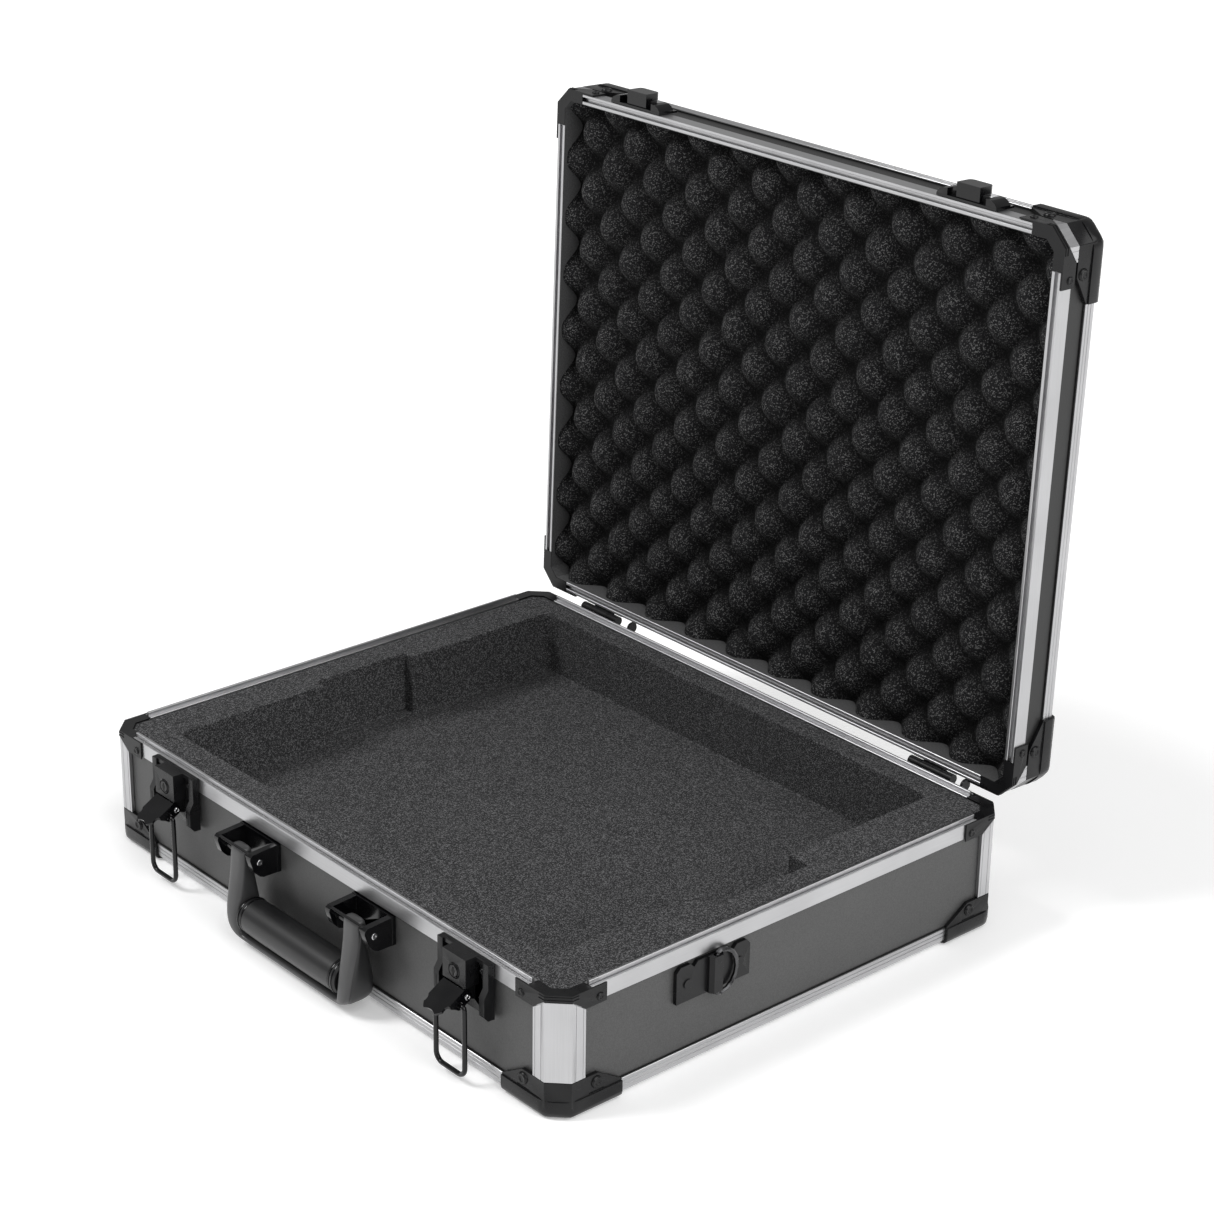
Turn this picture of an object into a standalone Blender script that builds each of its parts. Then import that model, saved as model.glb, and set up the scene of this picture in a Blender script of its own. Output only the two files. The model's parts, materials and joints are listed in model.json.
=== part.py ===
"""Aluminium attache case, standing on its base with the lid open.

The base and the lid are boxes of flat panels held in aluminium extrusions, with
a rim fitting and a ball corner at each of their corners. The front carries two
sprung draw latches with locks and a hinged handle, each side a D-ring, and the
back two hinges. Both halves are lined with foam.

The case frame has its origin at the middle of the case, on the parting plane
between base and lid: X to the right, Y to the back, Z up.
"""

import math

import bmesh
import bpy
from mathutils import Matrix

MM = 0.001

# Overall sizes
WIDTH = 461.2 * MM
DEPTH = 369.8 * MM
BASE_HEIGHT = 82.0 * MM
LID_HEIGHT = 38.0 * MM
CORNER_CUT = 10.6 * MM
OPEN_ANGLE = math.radians(91.77)
BBOX_CENTRE_Y = 11.364 * MM      # middle of the open case, behind the middle of its base

# Clearances
GAP = 0.3 * MM                  # between touching pieces
PARTING = 0.15 * MM             # each half's rim face to the parting plane

# Panels and extrusions, measured inward from the outer faces
SKIN = 1.2 * MM                 # outer leg of an extrusion
PANEL_FACE = 1.5 * MM
PANEL_THICKNESS = 4.0 * MM
RIM_WIDTH = 7.0 * MM
RIM_BAND = 10.7 * MM
EDGE_BAND = 12.0 * MM           # from the outer face of base or lid
EDGE_FLANGE = 16.0 * MM
EDGE_RADIUS = 4.0 * MM
EDGE_RECESS = 1.2 * MM          # ball corners stand this far beyond the extrusions
EDGE_WALL = 1.5 * MM
WEB = 3.0 * MM
TONGUE = (2.4 * MM, 4.3 * MM)   # its two faces, inward from the outside
TONGUE_HEIGHT = 2.6 * MM
GROOVE = (2.0 * MM, 4.9 * MM)
GROOVE_DEPTH = 3.2 * MM

# Corner fittings, measured from the sharp corner of the case
PROUD = 1.3 * MM                # outer face of wings and posts beyond the case
POST_REACH = 20.2 * MM
WING_REACH = 35.7 * MM
WING_HEIGHT = 12.0 * MM
LEAF_REACH = 25.0 * MM
LEAF_THICKNESS = 0.9 * MM
WING_SCREW = (30.5 * MM, 7.5 * MM)
NOTCH_TOP = 4.9 * MM
NOTCH_END = 20.6 * MM
BALL_REACH = 47.9 * MM
BALL_HEIGHT = 24.3 * MM
BALL_PROUD = 2.2 * MM
BALL_RADIUS = 5.0 * MM
BALL_RIVET = (28.5 * MM, 18.8 * MM)
BALL_SLANT = ((29.9 * MM, 24.3 * MM), (37.9 * MM, 19.2 * MM), (47.9 * MM, 13.2 * MM))

# Foam
FOAM_INSET = 7.3 * MM
FOAM_TOP = 1.0 * MM             # below the parting plane
POCKET_SIZE = (380 * MM, 318 * MM)
POCKET_CENTRE = (-3 * MM, 2.2 * MM)
POCKET_DEPTH = 45 * MM
POCKET_RADIUS = 6 * MM
FINGER_X = (-202 * MM, 204.5 * MM)
FINGER_Y = (-39 * MM, 37 * MM)
BUMP_PITCH = 21.5 * MM          # from a crest of the lid foam to the next hollow
BUMP_MIDDLE = 10.0 * MM         # mean level above the parting plane
BUMP_HEIGHT = 6.8 * MM

# Hinges; the axis lies behind the back face on the parting plane
HINGE_OUT = 4.42 * MM
HINGE_Y = DEPTH / 2 + HINGE_OUT
HINGES = {"left": (-165.0 * MM, 33.5 * MM), "right": (164.2 * MM, 29.1 * MM)}   # centre, stop ear
HINGE_HALF = 19.0 * MM
KNUCKLE_RADIUS = 3.4 * MM
KNUCKLE_SPLIT = 9.0 * MM
HINGE_PIN = 1.5 * MM

# Draw latches; "out" is the distance in front of the front face
LATCH_X = 151.5 * MM
HOUSING_HALF = 23.7 * MM
HOUSING_LOW = 37.5 * MM
LOCK_BOX_HALF = 10.65 * MM
LOCK_BOX_LOW = 19.4 * MM
LOCK_BOX_OUT = 11.3 * MM
LOCK_DROP = 11.6 * MM
LOCK_RADIUS = 3.7 * MM
LEVER_OUT = 9.0 * MM
LEVER_DROP = 25.8 * MM
LEVER_REST = math.radians(60)   # sprung open from flat
LEVER_RISE = 5.84 * MM          # face of the lever above its axis
LEVER_LENGTH = 21.5 * MM
LEVER_HALF = 9.7 * MM
LEVER_SHEET = 1.5 * MM
PIVOT_PIN = 1.5 * MM
BAIL_ON_LEVER = (0.3 * MM, -6.5 * MM)
BAIL_WIRE = 1.6 * MM
BAIL_HALF = 13.5 * MM
BAIL_LENGTH = 46.7 * MM
BAIL_PIN = (1.5 * MM, 7.2 * MM)  # radius and half length of the spacer between the bail's ends
HOOK_HALF = 9.5 * MM

# Handle
BRACKET_X = 59.4 * MM
BRACKET_HALF = 20.1 * MM
CHEEK = 4.5 * MM
HANDLE_OUT = 14.6 * MM
HANDLE_DROP = 20.0 * MM
HANDLE_PIN = 2.6 * MM
HANDLE_ARM = (52.0 * MM, 67.0 * MM)
HANDLE_BOTTOM = 77.0 * MM
HANDLE_RADIUS = 17.0 * MM
HANDLE_CORE = 5.0 * MM
GRIP_RADIUS = 12.0 * MM
GRIP_DROP = 61.0 * MM
GRIP_HALF = 51.6 * MM

# D-rings
RING_Y = -66.7 * MM
RING_OUT = 3.7 * MM
RING_DROP = 24.5 * MM
RING_WIRE = 1.5 * MM
RING_HALF = 14.3 * MM
RING_REACH = 16.5 * MM
RING_PLATE_HALF = 29.2 * MM
RING_PLATE_RISE = 12.0 * MM
BARREL_HALF = 5.2 * MM

CORNERS = {
    "front_left": (-1, -1, 0),
    "front_right": (1, -1, 90),
    "back_right": (1, 1, 180),
    "back_left": (-1, 1, 270),
}
SIDES = {"left": -1, "right": 1}


# ---------------------------------------------------------------- scene and materials

def clear_scene():
    for item in list(bpy.data.objects):
        bpy.data.objects.remove(item, do_unlink=True)


def new_collection(name):
    collection = bpy.data.collections.new(name)
    bpy.context.scene.collection.children.link(collection)
    return collection


def new_material(name, colour, roughness, metallic):
    material = bpy.data.materials.new(name)
    material.use_nodes = True
    shader = material.node_tree.nodes["Principled BSDF"]
    shader.inputs["Base Color"].default_value = (*colour, 1.0)
    shader.inputs["Roughness"].default_value = roughness
    shader.inputs["Metallic"].default_value = metallic
    return material


# ---------------------------------------------------------------- solids

def finish_mesh(bm, name):
    mesh = bpy.data.meshes.new(name)
    bm.to_mesh(mesh)
    bm.free()
    return mesh


def box(x_range, y_range, z_range):
    """A block between the given limits."""
    bm = bmesh.new()
    bmesh.ops.create_cube(bm, size=1.0)
    ranges = (x_range, y_range, z_range)
    size = [high - low for low, high in ranges]
    middle = [(high + low) / 2 for low, high in ranges]
    bmesh.ops.scale(bm, vec=size, verts=bm.verts)
    bmesh.ops.translate(bm, vec=middle, verts=bm.verts)
    return finish_mesh(bm, "box")


def turn_to(axis):
    """Rotation that takes the Z axis to the named axis."""
    if axis == "X":
        return Matrix(((0, 0, 1, 0), (1, 0, 0, 0), (0, 1, 0, 0), (0, 0, 0, 1)))
    if axis == "Y":
        return Matrix(((1, 0, 0, 0), (0, 0, -1, 0), (0, 1, 0, 0), (0, 0, 0, 1)))
    return Matrix.Identity(4)


def cylinder(radius, low, high, axis, middle, segments=20):
    """A rod along an axis, from low to high, through middle in the other two directions."""
    bm = bmesh.new()
    bmesh.ops.create_cone(
        bm, cap_ends=True, segments=segments, radius1=radius, radius2=radius, depth=abs(high - low)
    )
    bmesh.ops.transform(bm, matrix=turn_to(axis), verts=bm.verts)
    along = (low + high) / 2
    first, second = middle
    place = {"X": (along, first, second), "Y": (first, along, second), "Z": (first, second, along)}
    bmesh.ops.translate(bm, vec=place[axis], verts=bm.verts)
    return finish_mesh(bm, "cylinder")


def prism(outline, low, high, axis="Z", holes=()):
    """A flat outline, filled and extruded along an axis.

    Along Z the outline's points are (x, y), along X they are (y, z), along Y they are (x, z).
    """
    curve = bpy.data.curves.new("outline", "CURVE")
    curve.dimensions = "2D"
    curve.fill_mode = "BOTH"
    curve.extrude = (high - low) / 2
    for loop in (outline, *holes):
        spline = curve.splines.new("POLY")
        spline.points.add(len(loop) - 1)
        for point, (u, v) in zip(spline.points, loop):
            point.co = (u, v, 0, 1)
        spline.use_cyclic_u = True
    holder = bpy.data.objects.new("outline", curve)
    bpy.context.scene.collection.objects.link(holder)
    mesh = mesh_of(holder)
    bpy.data.objects.remove(holder, do_unlink=True)
    middle = (low + high) / 2
    offset = {"X": (middle, 0, 0), "Y": (0, middle, 0), "Z": (0, 0, middle)}[axis]
    mesh.transform(Matrix.Translation(offset) @ turn_to(axis))
    return mesh


def wire(points, radius, closed=False, sides=2):
    """A round rod bent along a line of points."""
    curve = bpy.data.curves.new("wire", "CURVE")
    curve.dimensions = "3D"
    curve.bevel_depth = radius
    curve.bevel_resolution = sides
    curve.use_fill_caps = not closed
    spline = curve.splines.new("POLY")
    spline.points.add(len(points) - 1)
    for point, place in zip(spline.points, points):
        point.co = (*place, 1)
    spline.use_cyclic_u = closed
    holder = bpy.data.objects.new("wire", curve)
    bpy.context.scene.collection.objects.link(holder)
    mesh = mesh_of(holder)
    bpy.data.objects.remove(holder, do_unlink=True)
    return mesh


def mesh_of(item):
    """The evaluated shape of an object as a welded mesh."""
    bpy.context.view_layer.update()
    seen = item.evaluated_get(bpy.context.evaluated_depsgraph_get())
    mesh = bpy.data.meshes.new_from_object(seen)
    bm = bmesh.new()
    bm.from_mesh(mesh)
    bmesh.ops.remove_doubles(bm, verts=bm.verts, dist=1e-6)
    bmesh.ops.recalc_face_normals(bm, faces=bm.faces)
    bm.to_mesh(mesh)
    bm.free()
    return mesh


def combine(first, added=(), cut=(), shared=()):
    """The first solid with others joined to it, cut away from it, or kept only where shared."""
    target = bpy.data.objects.new("target", first)
    bpy.context.scene.collection.objects.link(target)
    tools = []
    for operation, solids in (("UNION", added), ("INTERSECT", shared), ("DIFFERENCE", cut)):
        for solid in solids:
            tool = bpy.data.objects.new("tool", solid)
            tool.hide_render = True
            tool.display_type = "WIRE"
            bpy.context.scene.collection.objects.link(tool)
            modifier = target.modifiers.new(operation.lower(), "BOOLEAN")
            modifier.operation = operation
            modifier.object = tool
            modifier.solver = "EXACT"
            tools.append(tool)
    mesh = mesh_of(target)
    for item in (target, *tools):
        bpy.data.objects.remove(item, do_unlink=True)
    return mesh


def round_edges(mesh, radius, segments, chosen):
    """Round the edges for which chosen(start, end) is true."""
    bm = bmesh.new()
    bm.from_mesh(mesh)
    bmesh.ops.dissolve_limit(bm, angle_limit=0.001, verts=bm.verts, edges=bm.edges)
    edges = [edge for edge in bm.edges if chosen(edge.verts[0].co, edge.verts[1].co)]
    bmesh.ops.bevel(
        bm, geom=edges, offset=radius, segments=segments, profile=0.5, affect="EDGES", clamp_overlap=True
    )
    bm.to_mesh(mesh)
    bm.free()
    return mesh


def arc(centre, radius, start, end, steps):
    """Points along an arc; the angles are in degrees."""
    points = []
    for step in range(steps + 1):
        angle = math.radians(start + (end - start) * step / steps)
        points.append((centre[0] + radius * math.cos(angle), centre[1] + radius * math.sin(angle)))
    return points


# ---------------------------------------------------------------- outlines in plan

def cut_at(inset):
    """Leg of the 45 degree corner cut on an outline moved in by inset."""
    return CORNER_CUT - inset * (2 - math.sqrt(2))


def octagon(inset):
    """Outline of the case in plan, moved in by inset."""
    x = WIDTH / 2 - inset
    y = DEPTH / 2 - inset
    cut = cut_at(inset)
    return [
        (x - cut, -y), (x, cut - y), (x, y - cut), (x - cut, y),
        (cut - x, y), (-x, y - cut), (-x, cut - y), (cut - x, -y),
    ]


def slab(inset, low, high):
    return prism(octagon(inset), low, high)


def ring(outer, inner, low, high):
    return prism(octagon(outer), low, high, holes=(octagon(inner),))


def corner_strip(outer, inner, reach):
    """Plan of a strip bent round a case corner, between two insets.

    Corner outlines have their origin at the sharp corner, with the case in +X +Y.
    """
    near = outer + cut_at(outer)
    far = inner + cut_at(inner)
    return [
        (near, outer), (reach, outer), (reach, inner), (far, inner),
        (inner, far), (inner, reach), (outer, reach), (outer, near),
    ]


def corner_block(inset, reach):
    near = inset + cut_at(inset)
    return [(near, inset), (reach, inset), (reach, reach), (inset, reach), (inset, near)]


def both_ways(outline, low, high):
    """A prism across the front face of a corner and its twin across the side face."""
    return [prism(outline, low, high, "Y"), prism(outline, low, high, "X")]


# ---------------------------------------------------------------- placing

class Model:
    """Collection, frames and materials that the pieces are placed with."""

    def __init__(self):
        self.collection = new_collection("attache_case")
        self.materials = {
            "aluminium": new_material("aluminium", (0.70, 0.70, 0.71), 0.38, 1.0),
            "panel_laminate": new_material("panel_laminate", (0.105, 0.105, 0.108), 0.5, 0.0),
            "black_steel": new_material("black_steel", (0.035, 0.035, 0.037), 0.36, 0.6),
            "bright_steel": new_material("bright_steel", (0.55, 0.55, 0.56), 0.3, 1.0),
            "base_foam": new_material("base_foam", (0.045, 0.045, 0.052), 0.95, 0.0),
            "lid_foam": new_material("lid_foam", (0.018, 0.018, 0.021), 0.95, 0.0),
            "handle_plastic": new_material("handle_plastic", (0.17, 0.17, 0.175), 0.42, 0.0),
        }

    def frame(self, name, parent=None, location=(0, 0, 0), rotation=(0, 0, 0)):
        """An empty that pieces are parented to."""
        empty = bpy.data.objects.new(name, None)
        empty.empty_display_size = 0.02
        return self.place(empty, parent, location, rotation)

    def place(self, item, parent, location, rotation):
        item.parent = parent
        item.location = location
        item.rotation_euler = rotation
        self.collection.objects.link(item)
        return item

    def piece(self, name, mesh, material, parent, location=(0, 0, 0), rotation=(0, 0, 0)):
        mesh.name = name
        mesh.materials.clear()
        mesh.materials.append(self.materials[material])
        mesh.shade_smooth()
        mesh.set_sharp_from_angle(angle=math.radians(35))
        item = bpy.data.objects.new(name, mesh)
        return self.place(item, parent, location, rotation)

    def four_corners(self, name, mesh, material, parent, height, lid=False):
        """One piece at each corner of the case; in the lid it is turned over."""
        for corner, (x_sign, y_sign, turn) in CORNERS.items():
            location = (x_sign * WIDTH / 2, y_sign * DEPTH / 2, height)
            rotation = (0, 0, math.radians(turn))
            if lid:
                rotation = (math.pi, 0, math.radians(turn + 90))
            self.piece(f"{name}_{corner}", mesh.copy(), material, parent, location, rotation)


# ---------------------------------------------------------------- extrusions and panels

def leaf_recesses(low, high):
    """Blocks over the four corners, where the rim fittings lie on the rim."""
    x = WIDTH / 2 - LEAF_REACH - GAP
    y = DEPTH / 2 - LEAF_REACH - GAP
    far = 0.3
    blocks = []
    for x_sign, y_sign, _ in CORNERS.values():
        x_range = sorted((x_sign * x, x_sign * far))
        y_range = sorted((y_sign * y, y_sign * far))
        blocks.append(box(x_range, y_range, (low, high)))
    return blocks


def tongue_bars():
    """The raised lip along each side of the base rim, ending at the rim fittings."""
    near, far = TONGUE
    x = WIDTH / 2
    y = DEPTH / 2
    half_x = x - LEAF_REACH - GAP
    half_y = y - LEAF_REACH - GAP
    levels = (-WEB / 2, TONGUE_HEIGHT)
    bars = []
    for sign in (-1, 1):
        bars.append(box((-half_x, half_x), sorted((sign * (y - near), sign * (y - far))), levels))
        bars.append(box(sorted((sign * (x - near), sign * (x - far))), (-half_y, half_y), levels))
    return bars


def base_rim():
    body = slab(0, -RIM_BAND, -PARTING)
    hollow = ring(SKIN, RIM_WIDTH - SKIN, -RIM_BAND - 5 * MM, -WEB)
    opening = slab(RIM_WIDTH, -RIM_BAND - 5 * MM, 5 * MM)
    recess = PARTING + LEAF_THICKNESS + GAP
    cut = [hollow, opening, *leaf_recesses(-recess, 5 * MM)]
    return combine(combine(body, cut=cut), added=tongue_bars())


def lid_rim():
    web = GROOVE_DEPTH + SKIN
    body = slab(0, PARTING, RIM_BAND)
    hollow = ring(SKIN, RIM_WIDTH - SKIN, web, RIM_BAND + 5 * MM)
    opening = slab(RIM_WIDTH, -5 * MM, RIM_BAND + 5 * MM)
    groove = ring(*GROOVE, -5 * MM, GROOVE_DEPTH)
    recess = PARTING + LEAF_THICKNESS + GAP
    return combine(body, cut=[hollow, opening, groove, *leaf_recesses(-5 * MM, recess)])


def edge_frame():
    """Extrusion round the outer face of base or lid, its outer face at EDGE_RECESS."""
    low = EDGE_RECESS
    floor = low + EDGE_WALL
    shelf = low + PANEL_THICKNESS + GAP + SKIN
    body = slab(0, low, EDGE_BAND)

    def along_bottom(start, end):
        return max(start.z, end.z) < low + GAP

    round_edges(body, EDGE_RADIUS, 3, along_bottom)
    above = EDGE_BAND + 5 * MM
    cut = [
        slab(SKIN, shelf - SKIN + GAP, above),
        slab(PANEL_FACE + PANEL_THICKNESS - GAP, floor, above),
        slab(EDGE_FLANGE, -5 * MM, above),
    ]
    return combine(body, cut=cut)


def inner_panel():
    """Board that closes base or lid, above the extrusion's flange."""
    low = EDGE_RECESS + EDGE_WALL + GAP
    return slab(PANEL_FACE + PANEL_THICKNESS + GAP, low, low + PANEL_THICKNESS)


def side_panel(length, height):
    """Board standing along X, its outer face at Y = 0 and its top edge at Z = 0."""
    half = length / 2 - CORNER_CUT - PANEL_FACE
    return box((-half, half), (0, PANEL_THICKNESS), (-height, 0))


def lid_wall(low, high):
    return ring(PANEL_FACE, PANEL_FACE + PANEL_THICKNESS, low, high)


# ---------------------------------------------------------------- corner pieces

def notch_cutters():
    """The V between a rim fitting's wings, over the post."""
    low = -WING_HEIGHT - 5 * MM
    outline = [
        (-5 * MM, low), (NOTCH_END, low), (NOTCH_END, -WING_HEIGHT),
        (CORNER_CUT, -NOTCH_TOP), (-5 * MM, -NOTCH_TOP),
    ]
    return both_ways(outline, -5 * MM, CORNER_CUT / 2)


def screw_heads(place, out_low, out_high, radius, segments=12):
    """Two round heads, one on each face of a corner."""
    along, height = place
    return [
        cylinder(radius, -out_high, -out_low, "Y", (along, height), segments),
        cylinder(radius, -out_high, -out_low, "X", (along, height), segments),
    ]


def rim_corner():
    """Black fitting that joins two rim extrusions, hanging down from the parting plane."""
    wings = prism(corner_strip(-PROUD, -GAP, WING_REACH), -WING_HEIGHT, -PARTING)
    wings = combine(wings, cut=notch_cutters())
    top = prism(corner_strip(-PROUD, RIM_WIDTH, LEAF_REACH), -PARTING - LEAF_THICKNESS, -PARTING)
    drop = (WING_SCREW[0], -WING_SCREW[1])
    return combine(wings, added=[top, *screw_heads(drop, PROUD / 2, PROUD + 0.6 * MM, 2.3 * MM)])


def post(length):
    """Corner extrusion between the rim fitting and the ball corner, hanging down."""
    outer = -PROUD + 0.1 * MM
    body_top = RIM_BAND + GAP
    face_top = NOTCH_TOP + GAP
    body = prism(corner_strip(outer, SKIN, POST_REACH), -length, -body_top)
    face = prism(corner_strip(outer, -GAP, POST_REACH), -body_top - MM, -face_top)
    shift = 0.5 * MM
    outline = [
        (CORNER_CUT, 5 * MM), (CORNER_CUT, -NOTCH_TOP - shift),
        (NOTCH_END + shift, -WING_HEIGHT - 2 * shift), (NOTCH_END + 5 * MM, 5 * MM),
    ]
    cut = both_ways(outline, -5 * MM, 5 * MM)
    return combine(combine(body, added=[face]), cut=cut)


def ball_corner():
    """Black corner cap, standing up from the outer face of base or lid."""
    foot = prism(corner_block(-BALL_PROUD, BALL_REACH), 0, EDGE_BAND)
    near = -BALL_PROUD + cut_at(-BALL_PROUD)

    def rounded(start, end):
        low = max(start.z, end.z) < GAP
        upright = abs(start.z - end.z) > 5 * MM
        inside = max(start.x, start.y, end.x, end.y) > BALL_REACH - GAP
        at_cut = abs(start.x + start.y - near + BALL_PROUD) < MM
        outer = min(start.x + end.x, start.y + end.y) < MM or at_cut
        return (low and outer) or (upright and not inside)

    round_edges(foot, BALL_RADIUS, 3, rounded)
    wall = prism(corner_block(-PROUD, BALL_REACH), EDGE_BAND - 4 * MM, BALL_HEIGHT)
    solid = combine(foot, added=[wall])
    beyond = BALL_REACH + 10 * MM
    envelope = prism(corner_block(-GAP, beyond), EDGE_RECESS - GAP, EDGE_BAND + GAP)

    def at_floor(start, end):
        return max(start.z, end.z) < EDGE_RECESS

    round_edges(envelope, EDGE_RADIUS, 3, at_floor)
    inside = prism(corner_block(SKIN, beyond), EDGE_BAND - MM, BALL_HEIGHT + 5 * MM)
    window = box((EDGE_FLANGE, beyond), (EDGE_FLANGE, beyond), (-5 * MM, 10 * MM))
    slope = [*BALL_SLANT, (beyond, BALL_SLANT[-1][1]), (beyond, 40 * MM), (BALL_SLANT[0][0], 40 * MM)]
    cut = [envelope, inside, window, *both_ways(slope, -5 * MM, 5 * MM)]
    rivets = screw_heads(BALL_RIVET, PROUD / 2, PROUD + 0.9 * MM, 3.4 * MM, 14)
    return combine(combine(solid, cut=cut), added=rivets)


# ---------------------------------------------------------------- foam

def rounded_rectangle(size, centre, radius, steps=4):
    half_x = size[0] / 2 - radius
    half_y = size[1] / 2 - radius
    points = []
    for x_sign, y_sign, start in ((1, -1, 270), (1, 1, 0), (-1, 1, 90), (-1, -1, 180)):
        middle = (centre[0] + x_sign * half_x, centre[1] + y_sign * half_y)
        points += arc(middle, radius, start, start + 90, steps)
    return points


def base_foam(floor):
    """Block with the pocket and a finger notch at each end of it."""
    body = slab(FOAM_INSET, floor, -FOAM_TOP)
    low = -FOAM_TOP - POCKET_DEPTH
    pocket = prism(rounded_rectangle(POCKET_SIZE, POCKET_CENTRE, POCKET_RADIUS), low, 5 * MM)
    notches = box(FINGER_X, FINGER_Y, (low + MM, 5 * MM))
    return combine(body, cut=[pocket, notches])


def lid_foam(ceiling):
    """Egg-crate sheet, crests and hollows in a chequered pattern facing down."""
    x = WIDTH / 2 - FOAM_INSET
    y = DEPTH / 2 - FOAM_INSET
    columns = round(2 * x / BUMP_PITCH)
    rows = round(2 * y / BUMP_PITCH)
    bm = bmesh.new()
    bmesh.ops.create_grid(bm, x_segments=columns, y_segments=rows, size=1.0)
    for vertex in bm.verts:
        column = round((vertex.co.x + 1) / 2 * columns)
        row = round((vertex.co.y + 1) / 2 * rows)
        crest = 1 if (column + row) % 2 == 0 else -1
        vertex.co = (vertex.co.x * x, vertex.co.y * y, BUMP_MIDDLE - crest * BUMP_HEIGHT)
    flat = bmesh.ops.extrude_face_region(bm, geom=list(bm.faces))
    for item in flat["geom"]:
        if isinstance(item, bmesh.types.BMVert):
            item.co.z = ceiling
    bmesh.ops.recalc_face_normals(bm, faces=bm.faces)
    bmesh.ops.triangulate(bm, faces=[face for face in bm.faces if abs(face.normal.z) > 0.01])
    sheet = finish_mesh(bm, "egg_crate")
    return combine(sheet, shared=[slab(FOAM_INSET + 0.1 * MM, -5 * MM, ceiling + 5 * MM)])


# ---------------------------------------------------------------- hinges

def hinge_half(side, split_inside):
    """Leaf and knuckles round the hinge axis; side is 1 for the lid's leaf, -1 for the base's."""
    face = (-HINGE_OUT + GAP, -HINGE_OUT + GAP + 1.5 * MM)
    leaf = box((-HINGE_HALF, HINGE_HALF), face, sorted((side * 2.9 * MM, side * 24 * MM)))
    added = []
    if split_inside:
        spans = [(-KNUCKLE_SPLIT + GAP, KNUCKLE_SPLIT - GAP)]
    else:
        spans = [(-HINGE_HALF, -KNUCKLE_SPLIT), (KNUCKLE_SPLIT, HINGE_HALF)]
    for low, high in spans:
        added.append(cylinder(KNUCKLE_RADIUS, low, high, "X", (0, 0), 18))
        inner = low + 0.05 * MM
        outer = high - 0.05 * MM
        added.append(box((inner, outer), (face[0], -MM), sorted((side * MM, side * 5 * MM))))
    for x in (-13 * MM, 13 * MM):
        head = cylinder(2.6 * MM, face[0] + 0.5 * MM, face[1] + 0.6 * MM, "Y", (x, side * 14 * MM), 12)
        added.append(head)
    return leaf, added


def hinge_base_leaf(ear):
    """Fixed leaf with the pin and the ear that the open lid rests on."""
    leaf, added = hinge_half(-1, False)
    face = (-HINGE_OUT + GAP, -HINGE_OUT + GAP + 1.5 * MM)
    added.append(cylinder(HINGE_PIN, -HINGE_HALF + MM, HINGE_HALF - MM, "X", (0, 0), 14))
    ear_range = (ear - MM, ear + MM)
    added.append(box((HINGE_HALF - 2 * MM, ear + 0.5 * MM), face, (-13 * MM, -7 * MM)))
    added.append(box(ear_range, (face[0] + 0.1 * MM, -1.5 * MM), (-12 * MM, -0.5 * MM)))
    added.append(cylinder(4.0 * MM, *ear_range, "X", (0, 0), 18))
    added.append(box((ear - 0.9 * MM, ear + 0.9 * MM), (0, 3.4 * MM), (0, 4.0 * MM)))
    return combine(leaf, added=added)


def hinge_lid_leaf():
    leaf, added = hinge_half(1, True)
    bore = cylinder(HINGE_PIN + GAP, -HINGE_HALF, HINGE_HALF, "X", (0, 0), 14)
    return combine(combine(leaf, added=added), cut=[bore])


# ---------------------------------------------------------------- latches

def latch_housing():
    """Plate, side walls, lock box and ears; origin on the front face at the parting plane."""
    top = -0.6 * MM
    plate = box((-HOUSING_HALF, HOUSING_HALF), (-1.8 * MM, -GAP), (-HOUSING_LOW, top))
    wall = [
        (-0.5 * MM, top - 0.1 * MM), (-5 * MM, top - 0.1 * MM), (-5 * MM, -17 * MM), (-8 * MM, -22 * MM),
        (-8 * MM, -34 * MM), (-5 * MM, 0.1 * MM - HOUSING_LOW), (-0.5 * MM, 0.1 * MM - HOUSING_LOW),
    ]
    inner = HOUSING_HALF - 5 * MM
    outer = HOUSING_HALF - 0.1 * MM
    added = [prism(wall, -outer, -inner, "X"), prism(wall, inner, outer, "X")]
    added.append(box((-inner - MM, inner + MM), (-3.8 * MM, -MM), (top - 2.6 * MM, top - 0.15 * MM)))
    lock_low = -LOCK_BOX_LOW
    lock = box((-LOCK_BOX_HALF, LOCK_BOX_HALF), (-LOCK_BOX_OUT, -0.8 * MM), (lock_low, top - 0.05 * MM))
    added.append(lock)
    ear = [
        (-MM, -20.6 * MM), (-MM, -31 * MM), (-5.5 * MM, -29.2 * MM), (-9 * MM, -28.7 * MM),
        (-11.4 * MM, -27.4 * MM), (-11.8 * MM, -25.3 * MM), (-10.6 * MM, -23.4 * MM), (-6 * MM, -20.6 * MM),
    ]
    added += [prism(ear, -7.5 * MM, -5.9 * MM, "X"), prism(ear, 5.9 * MM, 7.5 * MM, "X")]
    pin_half = LEVER_HALF + 0.2 * MM
    added.append(cylinder(PIVOT_PIN, -pin_half, pin_half, "X", (-LEVER_OUT, -LEVER_DROP), 14))
    lock_hole = cylinder(
        LOCK_RADIUS + GAP, -LOCK_BOX_OUT - 5 * MM, -LOCK_BOX_OUT + 4.5 * MM, "Y", (0, -LOCK_DROP), 20
    )
    return combine(combine(plate, added=added), cut=[lock_hole])


def lock_cylinder():
    """Key plug; origin on its axis at the front of the lock box."""
    plug = cylinder(LOCK_RADIUS, -0.7 * MM, 4.2 * MM, "Y", (0, 0), 20)
    slot = box((-0.5 * MM, 0.5 * MM), (-5 * MM, 2 * MM), (-2.4 * MM, 2.4 * MM))
    return combine(plug, cut=[slot])


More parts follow.
